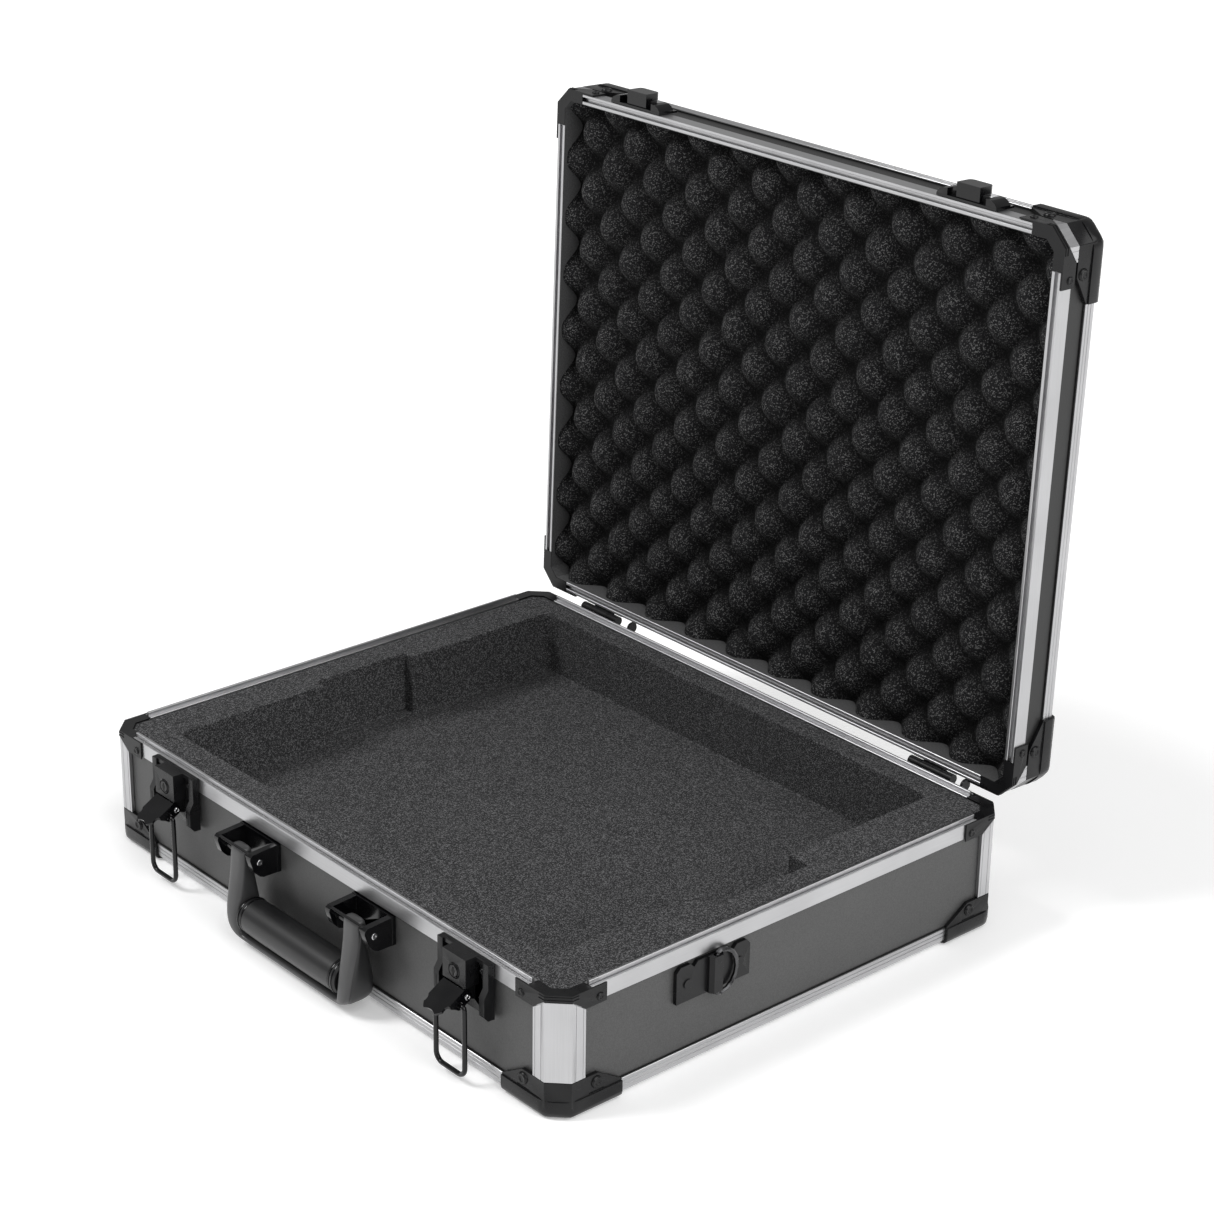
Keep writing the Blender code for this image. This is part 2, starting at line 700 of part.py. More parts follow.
def latch_lever():
    """Sprung lever, drawn closed: it hangs down with its face to the front."""
    face = -LEVER_RISE
    sheet = [(-LEVER_HALF, 0.5 * MM), (-LEVER_HALF, 6 * MM - LEVER_LENGTH)]
    sheet += arc((0, 9.0 * MM - LEVER_LENGTH), LEVER_HALF, 198, 342, 8)[1:-1]
    sheet += [(LEVER_HALF, 6 * MM - LEVER_LENGTH), (LEVER_HALF, 0.5 * MM)]
    plate = prism(sheet, face, face + LEVER_SHEET, "Y")
    flange = [
        (face + 0.4 * MM, 0.4 * MM), (-4.4 * MM, 2.3 * MM), (0, 3.0 * MM), (2.4 * MM, 2.2 * MM),
        (3.3 * MM, 0), (3.5 * MM, -6.5 * MM), (2.6 * MM, -9 * MM), (0, -10.2 * MM),
        (face + MM, -14 * MM), (face + 0.4 * MM, -14 * MM),
    ]
    inner = LEVER_HALF - 1.4 * MM
    outer = LEVER_HALF - 0.05 * MM
    added = [prism(flange, -outer, -inner, "X"), prism(flange, inner, outer, "X")]
    cut = [
        cylinder(PIVOT_PIN + GAP, -20 * MM, 20 * MM, "X", (0, 0), 14),
        cylinder(BAIL_WIRE + GAP, -20 * MM, 20 * MM, "X", BAIL_ON_LEVER, 16),
    ]
    return combine(combine(plate, added=added), cut=cut)


def latch_bail_pin():
    """Spacer that keeps the bail's two ends in the lever's holes."""
    radius, half = BAIL_PIN
    return cylinder(radius, -half, half, "X", (0, 0), 16)


def latch_bail():
    """Wire loop, hanging down from its pivot on the lever."""
    bend = 5 * MM
    low = -BAIL_LENGTH
    right = [(7.9 * MM, 0), (BAIL_HALF - 2 * MM, 0), (BAIL_HALF - 0.6 * MM, -0.6 * MM), (BAIL_HALF, -2 * MM)]
    right += arc((BAIL_HALF - bend, low + bend), bend, 0, -90, 4)
    outline = right + [(-x, z) for x, z in reversed(right)]
    return wire([(x, 0, z) for x, z in outline], BAIL_WIRE, sides=1)


def latch_catch():
    """Keeper on the lid's front face; origin on the face at the parting plane."""
    low = 0.6 * MM
    plate = box((-24.5 * MM, 24.5 * MM), (-1.8 * MM, -GAP), (low, 17 * MM))
    stem = box((-HOOK_HALF, HOOK_HALF), (-7 * MM, -MM), (2 * MM, 12 * MM))
    cap = [(-HOOK_HALF - 0.1 * MM, 1.9 * MM), (HOOK_HALF + 0.1 * MM, 1.9 * MM)]
    cap += arc((HOOK_HALF - 3 * MM, 11.6 * MM), 3.1 * MM, 0, 90, 3)
    cap += arc((3 * MM - HOOK_HALF, 11.6 * MM), 3.1 * MM, 90, 180, 3)
    added = [stem, prism(cap, -11.5 * MM, -6.6 * MM, "Y")]
    for sign in (-1, 1):
        wedge = [(15.8, -1), (24.4, -1), (24.4, -2.4), (22.5, -4.6), (19.5, -6.0), (15.8, -6.4)]
        outline = [(sign * x * MM, y * MM) for x, y in wedge]
        if sign < 0:
            outline.reverse()
        added.append(prism(outline, low + 0.1 * MM, 13.5 * MM))
    return combine(plate, added=added)


# ---------------------------------------------------------------- handle

def handle_bracket():
    """Socket with two cheeks and the pin; origin on the front face at the parting plane."""
    back = PANEL_FACE - GAP
    top = -RIM_BAND - MM
    plate = box((-BRACKET_HALF, BRACKET_HALF), (-1.5 * MM, back), (-31 * MM, top))
    cheek = [
        (back - 0.1 * MM, top - 0.1 * MM), (-19.6 * MM, -13.2 * MM), (-21.4 * MM, -14.6 * MM),
        (-21.8 * MM, -16.6 * MM), (-19.2 * MM, -25 * MM), (-15 * MM, -29.5 * MM), (-12 * MM, -30.8 * MM),
        (back - 0.1 * MM, -30.9 * MM),
    ]
    inner = BRACKET_HALF - CHEEK
    outer = BRACKET_HALF - 0.1 * MM
    added = [prism(cheek, -outer, -inner, "X"), prism(cheek, inner, outer, "X")]
    added.append(cylinder(HANDLE_PIN, -inner - MM, inner + MM, "X", (-HANDLE_OUT, -HANDLE_DROP), 16))
    return combine(plate, added=added)


def handle_side():
    """Side view of an arm as (y, z) round the pivot: narrow at the pin and full at the grip."""
    low = HANDLE_DROP - HANDLE_BOTTOM
    right = [(4.6, -1.5), (5.2, -8), (6.6, -17), (8.6, -27), (10.6, -38), (11.2, -47), (9.4, -53.5)]
    points = [(x * MM, z * MM) for x, z in right]
    points.append((5.5 * MM, low))
    left = [(-x, z) for x, z in reversed(points)]
    return [*arc((0, 0), 4.8 * MM, 162, 18, 6), *points, *left]


def handle():
    """Two arms joined by the grip and by a band below it; origin on the hinge axis."""
    near, far = HANDLE_ARM
    low = HANDLE_DROP - HANDLE_BOTTOM
    top = 6 * MM
    band = 2.6 * MM
    corner = (far - HANDLE_RADIUS, low + HANDLE_RADIUS)
    outer = [(far, top), *arc(corner, HANDLE_RADIUS, 0, -90, 5)]
    inner_corner = (near - 4 * MM, low + band + 4 * MM)
    inner = [*arc(inner_corner, 4 * MM, -90, 0, 3), (near, top)]
    outline = outer + [(-x, z) for x, z in reversed(outer)]
    outline += [(-x, z) for x, z in reversed(inner)] + inner
    front = prism(outline, -30 * MM, 30 * MM, "Y")
    side = prism(handle_side(), -far - 5 * MM, far + 5 * MM, "X")
    frame = combine(front, shared=[side])
    bore = cylinder(HANDLE_PIN + GAP, -far - 5 * MM, far + 5 * MM, "X", (0, 0), 16)
    return combine(combine(frame, cut=[bore]), added=[handle_grip(near + MM)])


def handle_grip(reach):
    """Round grip between the arms, with a groove near each end and a crowned middle."""
    half = GRIP_HALF
    radius = GRIP_RADIUS
    core = HANDLE_CORE
    profile = [
        (reach, core), (half, core), (half, radius - 1.6 * MM), (half - 1.2 * MM, radius - 0.4 * MM),
        (half - 4.0 * MM, radius - 0.4 * MM), (half - 4.4 * MM, radius - 1.2 * MM),
        (half - 5.6 * MM, radius - 1.2 * MM), (half - 6.0 * MM, radius - 0.3 * MM),
        (half / 2, radius),
    ]
    outline = profile + [(-x, r) for x, r in reversed(profile)]
    mesh = bpy.data.meshes.new("profile")
    # The profile turns round Z, so its length runs down the Z axis
    points = [(0, 0, reach), *[(r, 0, x) for x, r in outline], (0, 0, -reach)]
    edges = [(index, index + 1) for index in range(len(points) - 1)]
    mesh.from_pydata(points, edges, [])
    holder = bpy.data.objects.new("grip_profile", mesh)
    bpy.context.scene.collection.objects.link(holder)
    screw = holder.modifiers.new("turn", "SCREW")
    screw.axis = "Z"
    screw.steps = 24
    screw.render_steps = 24
    screw.use_merge_vertices = True
    screw.merge_threshold = 0.00001
    turned = mesh_of(holder)
    bpy.data.objects.remove(holder, do_unlink=True)
    turned.transform(Matrix.Translation((0, 0, HANDLE_DROP - GRIP_DROP)) @ turn_to("X"))
    return turned


# ---------------------------------------------------------------- D-rings

def ring_plate():
    """Plate with a barrel for the ring; origin on the side face, X outward."""
    back = -PANEL_FACE + GAP
    half = RING_PLATE_HALF
    rise = RING_PLATE_RISE
    notch = 15.5 * MM
    right = [(half, -rise), (half, rise - 3 * MM), (half - 3 * MM, rise), (notch + 3 * MM, rise)]
    right += [(notch, rise - 3 * MM), (notch - 3 * MM, rise)]
    outline = right + [(-y, z) for y, z in reversed(right)]
    plate = prism(outline, back, 1.5 * MM, "X")
    barrel = [(-BARREL_HALF, 1.0 * MM), (-BARREL_HALF, 3.4 * MM), (-3.4 * MM, 6.2 * MM), (3.4 * MM, 6.2 * MM)]
    barrel += [(BARREL_HALF, 3.4 * MM), (BARREL_HALF, 1.0 * MM)]
    body = prism([(x, -y) for y, x in barrel], -rise + 0.2 * MM, rise + 0.4 * MM)
    rivets = [cylinder(3.2 * MM, MM, 2.3 * MM, "X", (sign * 20.5 * MM, -0.5 * MM), 14) for sign in (-1, 1)]
    bore = cylinder(RING_WIRE + 0.35 * MM, -20 * MM, 20 * MM, "Z", (RING_OUT, 0), 14)
    return combine(combine(plate, added=[body, *rivets]), cut=[bore])


def d_ring():
    """Wire D round its straight leg, lying toward +Y."""
    bend = 3 * MM
    high = RING_HALF
    upper = [(0, high - bend), (0.9 * MM, high - 0.9 * MM), (bend, high)]
    straight = 4 * MM
    bow = []
    for step in range(9):
        angle = math.radians(90 - 180 * step / 8)
        bow.append((straight + (RING_REACH - straight) * math.cos(angle), high * math.sin(angle)))
    lower = [(y, -z) for y, z in reversed(upper)]
    return wire([(0, y, z) for y, z in upper + bow + lower], RING_WIRE, closed=True, sides=1)


# ---------------------------------------------------------------- assembly

def build_base(model, case):
    edge_frame_z = -BASE_HEIGHT
    panel_low = edge_frame_z + EDGE_RECESS + PANEL_THICKNESS + 2 * GAP + SKIN
    panel_top = -WEB - GAP
    height = panel_top - panel_low
    floor = edge_frame_z + EDGE_RECESS + EDGE_WALL + GAP + PANEL_THICKNESS + GAP
    x = WIDTH / 2 - PANEL_FACE
    y = DEPTH / 2 - PANEL_FACE
    model.piece("base_rim", base_rim(), "aluminium", case)
    model.piece("base_bottom_edge", edge_frame(), "aluminium", case, (0, 0, edge_frame_z))
    model.piece("base_bottom_panel", inner_panel(), "panel_laminate", case, (0, 0, edge_frame_z))
    long_panel = side_panel(WIDTH, height)
    short_panel = side_panel(DEPTH, height)
    panels = {
        "front": (long_panel, (0, -y), 0),
        "right": (short_panel, (x, 0), 90),
        "back": (long_panel, (0, y), 180),
        "left": (short_panel, (-x, 0), 270),
    }
    for side, (mesh, place, turn) in panels.items():
        rotation = (0, 0, math.radians(turn))
        location = (*place, panel_top)
        model.piece(f"base_{side}_panel", mesh.copy(), "panel_laminate", case, location, rotation)
    model.four_corners("base_post", post(BASE_HEIGHT - BALL_HEIGHT - GAP), "aluminium", case, 0)
    model.four_corners("base_rim_corner", rim_corner(), "black_steel", case, 0)
    model.four_corners("base_ball_corner", ball_corner(), "black_steel", case, -BASE_HEIGHT)
    model.piece("base_foam", base_foam(floor), "base_foam", case)


def build_lid(model, lid):
    top_panel_low = LID_HEIGHT - EDGE_RECESS - EDGE_WALL - GAP - PANEL_THICKNESS
    wall_top = LID_HEIGHT - EDGE_RECESS - PANEL_THICKNESS - 2 * GAP - SKIN
    turned = (math.pi, 0, 0)
    model.piece("lid_rim", lid_rim(), "aluminium", lid)
    model.piece("lid_top_edge", edge_frame(), "aluminium", lid, (0, 0, LID_HEIGHT), turned)
    model.piece("lid_top_panel", inner_panel(), "panel_laminate", lid, (0, 0, LID_HEIGHT), turned)
    wall_low = GROOVE_DEPTH + SKIN + GAP
    model.piece("lid_wall", lid_wall(wall_low, wall_top), "panel_laminate", lid)
    model.four_corners("lid_post", post(LID_HEIGHT - BALL_HEIGHT - GAP), "aluminium", lid, 0, lid=True)
    model.four_corners("lid_rim_corner", rim_corner(), "black_steel", lid, 0, lid=True)
    model.four_corners("lid_ball_corner", ball_corner(), "black_steel", lid, LID_HEIGHT, lid=True)
    model.piece("lid_foam", lid_foam(top_panel_low - GAP), "lid_foam", lid)


def build_hinges(model, case, lid):
    for side, (x, ear) in HINGES.items():
        place = (x, HINGE_Y, 0)
        model.piece(f"hinge_base_leaf_{side}", hinge_base_leaf(ear), "black_steel", case, place)
        model.piece(f"hinge_lid_leaf_{side}", hinge_lid_leaf(), "black_steel", lid, place)


def build_latches(model, case, lid):
    for side, sign in SIDES.items():
        place = (sign * LATCH_X, -DEPTH / 2, 0)
        latch = model.frame(f"latch_frame_{side}", case, place)
        model.piece(f"latch_housing_{side}", latch_housing(), "black_steel", latch)
        lock_place = (0, -LOCK_BOX_OUT, -LOCK_DROP)
        model.piece(f"lock_cylinder_{side}", lock_cylinder(), "bright_steel", latch, lock_place)
        pivot = (0, -LEVER_OUT, -LEVER_DROP)
        swung = (-LEVER_REST, 0, 0)
        lever = model.piece(f"latch_lever_{side}", latch_lever(), "black_steel", latch, pivot, swung)
        hang = (LEVER_REST, 0, 0)
        on_lever = (0, *BAIL_ON_LEVER)
        model.piece(f"latch_bail_pin_{side}", latch_bail_pin(), "bright_steel", lever, on_lever, hang)
        model.piece(f"latch_bail_{side}", latch_bail(), "black_steel", lever, on_lever, hang)
        model.piece(f"latch_catch_{side}", latch_catch(), "black_steel", lid, place)


def build_handle(model, case):
    for side, sign in SIDES.items():
        place = (sign * BRACKET_X, -DEPTH / 2, 0)
        model.piece(f"handle_bracket_{side}", handle_bracket(), "black_steel", case, place)
    hinge = model.frame("handle_hinge", case, (0, -DEPTH / 2 - HANDLE_OUT, -HANDLE_DROP))
    model.piece("handle", handle(), "handle_plastic", hinge)


def build_rings(model, case):
    for side, sign in SIDES.items():
        plate_turn = (0, 0, 0 if sign > 0 else math.pi)
        place = (sign * WIDTH / 2, RING_Y, -RING_DROP)
        ring_place = (sign * (WIDTH / 2 + RING_OUT), RING_Y, -RING_DROP)
        model.piece(f"dring_plate_{side}", ring_plate(), "black_steel", case, place, plate_turn)
        model.piece(f"dring_{side}", d_ring(), "bright_steel", case, ring_place)


def build():
    clear_scene()
    model = Model()
    case = model.frame("case_frame", location=(0, -BBOX_CENTRE_Y, BASE_HEIGHT))
    hinge = model.frame("lid_hinge", case, (0, HINGE_Y, 0), (-OPEN_ANGLE, 0, 0))
    lid = model.frame("lid_frame", hinge, (0, -HINGE_Y, 0))
    build_base(model, case)
    build_lid(model, lid)
    build_hinges(model, case, lid)
    build_latches(model, case, lid)
    build_handle(model, case)
    build_rings(model, case)
    bpy.context.view_layer.update()


build()
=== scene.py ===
"""Looks of the aluminium attache case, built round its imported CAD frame.

Lengths are written in millimetres and scaled by MM. Case coordinates have their origin at the
middle of the case on the parting plane, X right, Y back, Z up, with the lid closed; LID_PLACE
takes what is built for the closed lid to where the open lid is.
"""

import json
import math

import bmesh
import bpy
from mathutils import Euler, Matrix, Vector

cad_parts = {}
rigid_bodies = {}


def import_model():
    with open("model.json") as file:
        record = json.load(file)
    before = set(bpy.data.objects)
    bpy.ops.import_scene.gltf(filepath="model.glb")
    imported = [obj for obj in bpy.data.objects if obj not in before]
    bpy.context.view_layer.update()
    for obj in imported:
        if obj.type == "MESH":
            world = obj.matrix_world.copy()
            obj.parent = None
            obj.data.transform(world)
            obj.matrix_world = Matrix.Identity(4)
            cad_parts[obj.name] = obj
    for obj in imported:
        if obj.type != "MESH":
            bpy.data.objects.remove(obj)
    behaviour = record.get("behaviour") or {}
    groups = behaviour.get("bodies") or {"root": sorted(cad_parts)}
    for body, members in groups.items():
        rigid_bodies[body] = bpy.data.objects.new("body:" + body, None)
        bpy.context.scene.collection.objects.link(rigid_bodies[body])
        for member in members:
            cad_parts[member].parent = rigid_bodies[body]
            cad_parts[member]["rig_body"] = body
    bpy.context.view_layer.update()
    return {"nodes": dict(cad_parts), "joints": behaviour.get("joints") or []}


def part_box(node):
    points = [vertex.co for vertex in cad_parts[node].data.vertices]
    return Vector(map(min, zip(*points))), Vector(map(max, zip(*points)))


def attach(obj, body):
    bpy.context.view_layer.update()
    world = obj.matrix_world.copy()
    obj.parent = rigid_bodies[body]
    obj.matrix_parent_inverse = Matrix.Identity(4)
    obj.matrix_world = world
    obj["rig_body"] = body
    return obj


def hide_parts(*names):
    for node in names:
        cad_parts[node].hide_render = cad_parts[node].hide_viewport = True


MM = 0.001

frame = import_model()

# ---------------------------------------------------------------- sizes from the frame

JOINTS = {joint["name"]: joint for joint in frame["joints"]}
HINGE = Vector(JOINTS["lid_hinge"]["pos_m"])
OPEN_ANGLE = math.radians(JOINTS["lid_hinge"]["range_deg"][1])

rim_low, rim_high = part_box("base_rim")
ball_low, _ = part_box("base_ball_corner_front_left")
WIDTH = rim_high.x - rim_low.x
DEPTH = rim_high.y - rim_low.y
BASE_HEIGHT = HINGE.z - ball_low.z
LID_HEIGHT = 38.0 * MM
CASE = Vector(((rim_low.x + rim_high.x) / 2, (rim_low.y + rim_high.y) / 2, HINGE.z))

BASE_PLACE = Matrix.Translation(CASE)
LID_TURN = Matrix.Rotation(-OPEN_ANGLE, 4, "X")
LID_PLACE = Matrix.Translation(HINGE) @ LID_TURN @ Matrix.Translation(CASE - HINGE)

# Extrusions, as in the CAD
CORNER_CUT = 10.6 * MM
PARTING = 0.15 * MM
SKIN = 1.2 * MM
RIM_WIDTH = 7.0 * MM
RIM_BAND = 10.7 * MM
WEB = 3.0 * MM
TONGUE = (2.4 * MM, 4.3 * MM)
TONGUE_HEIGHT = 2.6 * MM
GROOVE = (2.0 * MM, 4.9 * MM)
GROOVE_DEPTH = 3.2 * MM
EDGE_BAND = 12.0 * MM
EDGE_FLANGE = 16.0 * MM
EDGE_RADIUS = 4.0 * MM
EDGE_RECESS = 1.2 * MM
EDGE_WALL = 1.5 * MM
SOFTENED = 0.3 * MM             # rounding of an extrusion's edges
RIDGE_GROOVE = 0.3 * MM         # depth of the lengthwise grooves in the edge extrusion

# Corner fittings, from the sharp corner of the case
PROUD = 1.3 * MM
LEAF_REACH = 25.0 * MM
LEAF_THICKNESS = 0.9 * MM
WING_SCREW = (30.5 * MM, -7.5 * MM)
BALL_RIVET = (28.5 * MM, 18.8 * MM)
RIDGE_TOPS = (-1.2 * MM, -3.2 * MM)
RIDGE_HEIGHT = 0.9 * MM
RIDGE_REACH = 15 * MM

# Foam
FOAM_INSET = 7.3 * MM
BUMP_PITCH = 21.5 * MM
BUMP_MIDDLE = 10.0 * MM
BUMP_HEIGHT = 6.8 * MM
BUMP_STEP = 2.2 * MM
FOAM_BACK = 31.0 * MM
CREST_FLAT = 0.12               # part of the way to a hollow where a crest stays level
LINER_INSETS = (7.05 * MM, 7.25 * MM)
LINER_HEIGHTS = (0.5 * MM, 22 * MM)

# Latches, handle and brackets
LATCH_X = 151.5 * MM
LATCH_PIVOT = (-9.0 * MM, -25.8 * MM)
LOCK_FACE = 11.3 * MM
LOCK_DROP = 11.6 * MM
BRACKET_X = 59.4 * MM
HANDLE_PIN = (-14.6 * MM, -20.0 * MM)
HANDLE_ARM = (52.0 * MM, 67.0 * MM)
HANDLE_LOW = 57.0 * MM          # bottom of the handle below its pin
HANDLE_RADIUS = 17.0 * MM
GRIP_DROP = 41.0 * MM
GRIP_HALF = 51.6 * MM
GRIP_RADIUS = 12.0 * MM
BRACKET_LIP = ((-15.8, 15.8), (-21.0, -18.8), (-14.1, -13.2))   # between the cheeks, in mm
BRACKET_PIN_END = 20 * MM
GRIP_RINGS = ((46.6, 11.7), (49.4, 12.0))   # (distance from the middle, radius) in mm
SECTION_STEPS = 28
SECTION_POWER = 0.6             # 1 is an ellipse, lower is squarer
INLAY_STEPS = 8
LEVER_REST = math.radians(60)
LEVER_CUT = (-9 * MM, -3 * MM)  # how far in Y the cutters reach
LEVER_WAIST = (4.0 * MM, 12.0 * MM, -15.6 * MM)   # radius, x and z
LEVER_TIP = (9.0 * MM, 0, -28.4 * MM)
LEVER_PIN_END = 9.6 * MM
SPRING_SPAN = (1.2 * MM, 5.2 * MM)
SPRING_RADIUS = 2.3 * MM
SPRING_WIRE = 0.42 * MM
SPRING_TURNS = 4
COIL_STEPS = 12                 # points in each turn
LOCK_COLLAR = ((4.05, -1), (4.05, 0.5), (4.4, 0.75), (5.2, 0.1), (5.3, -0.5))   # (radius, height) in mm
SLIT_SPAN = (20.6 * MM, 21.8 * MM)
HOUSING_RIVET = (14.8 * MM, -1.8 * MM, -9 * MM)
BAIL_WIRE = 1.6 * MM            # radius
BAIL_BEND = 6.0 * MM
BAIL_HALF = 13.5 * MM
BAIL_LENGTH = 46.7 * MM
BAIL_STEPS = 8

CORNERS = {
    "front_left": (-1, -1, 0),
    "front_right": (1, -1, 90),
    "back_right": (1, 1, 180),
    "back_left": (-1, 1, 270),
}
SIDES = {"left": -1, "right": 1}

# Camera, at the photograph's viewing angle
CAMERA_PLACE = (1.2973, -1.09946, 0.9251)
CAMERA_AZIMUTH = math.radians(48.743)
CAMERA_ELEVATION = math.radians(23.343)
CAMERA_ROLL = math.radians(0.817)
CAMERA_LENS = 86.02

# Light: a pale room with a very soft lamp from the right and a smaller one from the front left
WORLD_STRENGTH = 0.38
LAMPS = {
    "right": ((0.9, 0.1, 0.8), 2.0, math.radians(60)),
    "front_left": ((-0.55, -0.75, 1.1), 1.6, math.radians(20)),
}
FLOOR_GLOW = 0.22
FLOOR_HALF = 60.0


# ---------------------------------------------------------------- materials

class Nodes:
    """A material's node tree, with short calls for the nodes that the finishes share."""

    def __init__(self, name):
        self.material = bpy.data.materials.new(name)
        self.material.use_nodes = True
        self.tree = self.material.node_tree
        self.shader = self.tree.nodes["Principled BSDF"]
        self.place = self.add("ShaderNodeTexCoord").outputs["Object"]

    def add(self, kind, **values):
        node = self.tree.nodes.new(kind)
        for name, value in values.items():
            setattr(node, name, value)
        return node

    def link(self, output, target):
        self.tree.links.new(output, target)

    def stretched(self, scale):
        mapping = self.add("ShaderNodeMapping")
        mapping.inputs["Scale"].default_value = scale
        self.link(self.place, mapping.inputs["Vector"])
        return mapping.outputs["Vector"]

    def noise(self, scale, detail=3.0, roughness=0.55, vector=None):
        node = self.add("ShaderNodeTexNoise")
        node.inputs["Scale"].default_value = scale
        node.inputs["Detail"].default_value = detail
        node.inputs["Roughness"].default_value = roughness
        self.link(vector or self.place, node.inputs["Vector"])
        return node.outputs["Fac"]

    def cells(self, scale, output="Distance"):
        node = self.add("ShaderNodeTexVoronoi")
        node.inputs["Scale"].default_value = scale
        self.link(self.place, node.inputs["Vector"])
        return node.outputs[output]

    def ramp(self, factor, stops):
        node = self.add("ShaderNodeValToRGB")
        elements = node.color_ramp.elements
        while len(elements) < len(stops):
            elements.new(0.5)
        for element, (position, colour) in zip(elements, stops):
            element.position = position
            element.color = (*colour, 1.0) if isinstance(colour, tuple) else (colour, colour, colour, 1.0)
        self.link(factor, node.inputs["Fac"])
        return node.outputs["Color"]

    def remap(self, value, low, high, to_low, to_high):
        node = self.add("ShaderNodeMapRange")
        for name, number in zip(("From Min", "From Max", "To Min", "To Max"), (low, high, to_low, to_high)):
            node.inputs[name].default_value = number
        self.link(value, node.inputs["Value"])
        return node.outputs["Result"]

    def mix(self, factor, first, second):
        node = self.add("ShaderNodeMix", data_type="RGBA")
        for socket, value in ((node.inputs[0], factor), (node.inputs[6], first), (node.inputs[7], second)):
            if isinstance(value, bpy.types.NodeSocket):
                self.link(value, socket)
            else:
                socket.default_value = value
        return node.outputs[2]

    def bump(self, height, strength, distance, normal=None):
        node = self.add("ShaderNodeBump")
        node.inputs["Strength"].default_value = strength
        node.inputs["Distance"].default_value = distance
        self.link(height, node.inputs["Height"])
        if normal:
            self.link(normal, node.inputs["Normal"])
        return node.outputs["Normal"]

    def finish(self, colour, roughness, normal=None, metallic=0.0, specular=0.5):
        inputs = self.shader.inputs
        self.link(colour, inputs["Base Color"])
        self.link(roughness, inputs["Roughness"])
        if normal:
            self.link(normal, inputs["Normal"])
        inputs["Metallic"].default_value = metallic
        inputs["Specular IOR Level"].default_value = specular
        return self.material


def aluminium(name, grain):
    """Satin anodised extrusion; grain scales the texture so that its lines run along the extrusion."""
    nodes = Nodes(name)
    lines = nodes.noise(1.0, 4.0, 0.6, nodes.stretched(grain))
    cloud = nodes.noise(22.0, 2.0)
    tone = nodes.ramp(lines, [(0.3, (0.44, 0.44, 0.45)), (0.7, (0.52, 0.52, 0.53))])
    colour = nodes.mix(0.25, tone, nodes.ramp(cloud, [(0.35, 0.38), (0.65, 0.54)]))
    roughness = nodes.remap(lines, 0.3, 0.7, 0.30, 0.42)
    return nodes.finish(colour, roughness, nodes.bump(lines, 0.12, 0.0002), metallic=1.0)


def laminate(name, shade):
    """Fine pebbled laminate with a faint cloudiness; shade scales how light it is."""
    nodes = Nodes(name)
    cloud = nodes.noise(14.0, 3.0)
    pebble = nodes.noise(1600.0, 2.0)
    tone = nodes.ramp(cloud, [(0.3, 0.046 * shade), (0.7, 0.068 * shade)])
    colour = nodes.mix(0.6, tone, nodes.ramp(pebble, [(0.35, 0.03 * shade), (0.65, 0.086 * shade)]))
    roughness = nodes.remap(pebble, 0.3, 0.7, 0.38, 0.52)
    return nodes.finish(colour, roughness, nodes.bump(pebble, 0.3, 0.0002))


def black_steel():
    """Black plated pressings: nearly smooth, with faint rubbed patches."""
    nodes = Nodes("black_steel")
    cloud = nodes.noise(60.0, 4.0)
    grain = nodes.noise(2400.0, 2.0)
    colour = nodes.ramp(cloud, [(0.35, (0.004, 0.004, 0.0045)), (0.7, (0.009, 0.009, 0.0095))])
    roughness = nodes.remap(cloud, 0.3, 0.7, 0.22, 0.36)
    return nodes.finish(colour, roughness, nodes.bump(grain, 0.12, 0.0001), specular=0.25)


def gloss_black():
    """Black lacquered fittings that take sharp highlights."""
    nodes = Nodes("gloss_black")
    cloud = nodes.noise(80.0, 3.0)
    colour = nodes.ramp(cloud, [(0.35, (0.0015, 0.0015, 0.002)), (0.7, (0.003, 0.003, 0.0035))])
    roughness = nodes.remap(cloud, 0.3, 0.7, 0.10, 0.18)
    return nodes.finish(colour, roughness, specular=0.35)


def bright_steel():
    nodes = Nodes("bright_steel")
    cloud = nodes.noise(300.0, 3.0)
    colour = nodes.ramp(cloud, [(0.3, (0.42, 0.42, 0.43)), (0.7, (0.62, 0.62, 0.63))])
    roughness = nodes.remap(cloud, 0.3, 0.7, 0.16, 0.3)
    return nodes.finish(colour, roughness, metallic=1.0)


def dark_steel():
    """Gunmetal wire, between the black fittings and the bright pins."""
    nodes = Nodes("dark_steel")
    cloud = nodes.noise(200.0, 3.0)
    colour = nodes.ramp(cloud, [(0.3, (0.06, 0.06, 0.062)), (0.7, (0.10, 0.10, 0.103))])
    roughness = nodes.remap(cloud, 0.3, 0.7, 0.16, 0.28)
    return nodes.finish(colour, roughness, metallic=1.0)


def painted_shade_black():
    """Painted shade: near-black for the shadowed gaps where panels enter extrusions and for the shadowed
    insides of the latch slits and the keyhole.
    """
    nodes = Nodes("painted_shade_black")
    cloud = nodes.noise(500.0, 2.0)
    colour = nodes.ramp(cloud, [(0.3, 0.003), (0.7, 0.007)])
    roughness = nodes.remap(cloud, 0.3, 0.7, 0.6, 0.75)
    return nodes.finish(colour, roughness, specular=0.3)


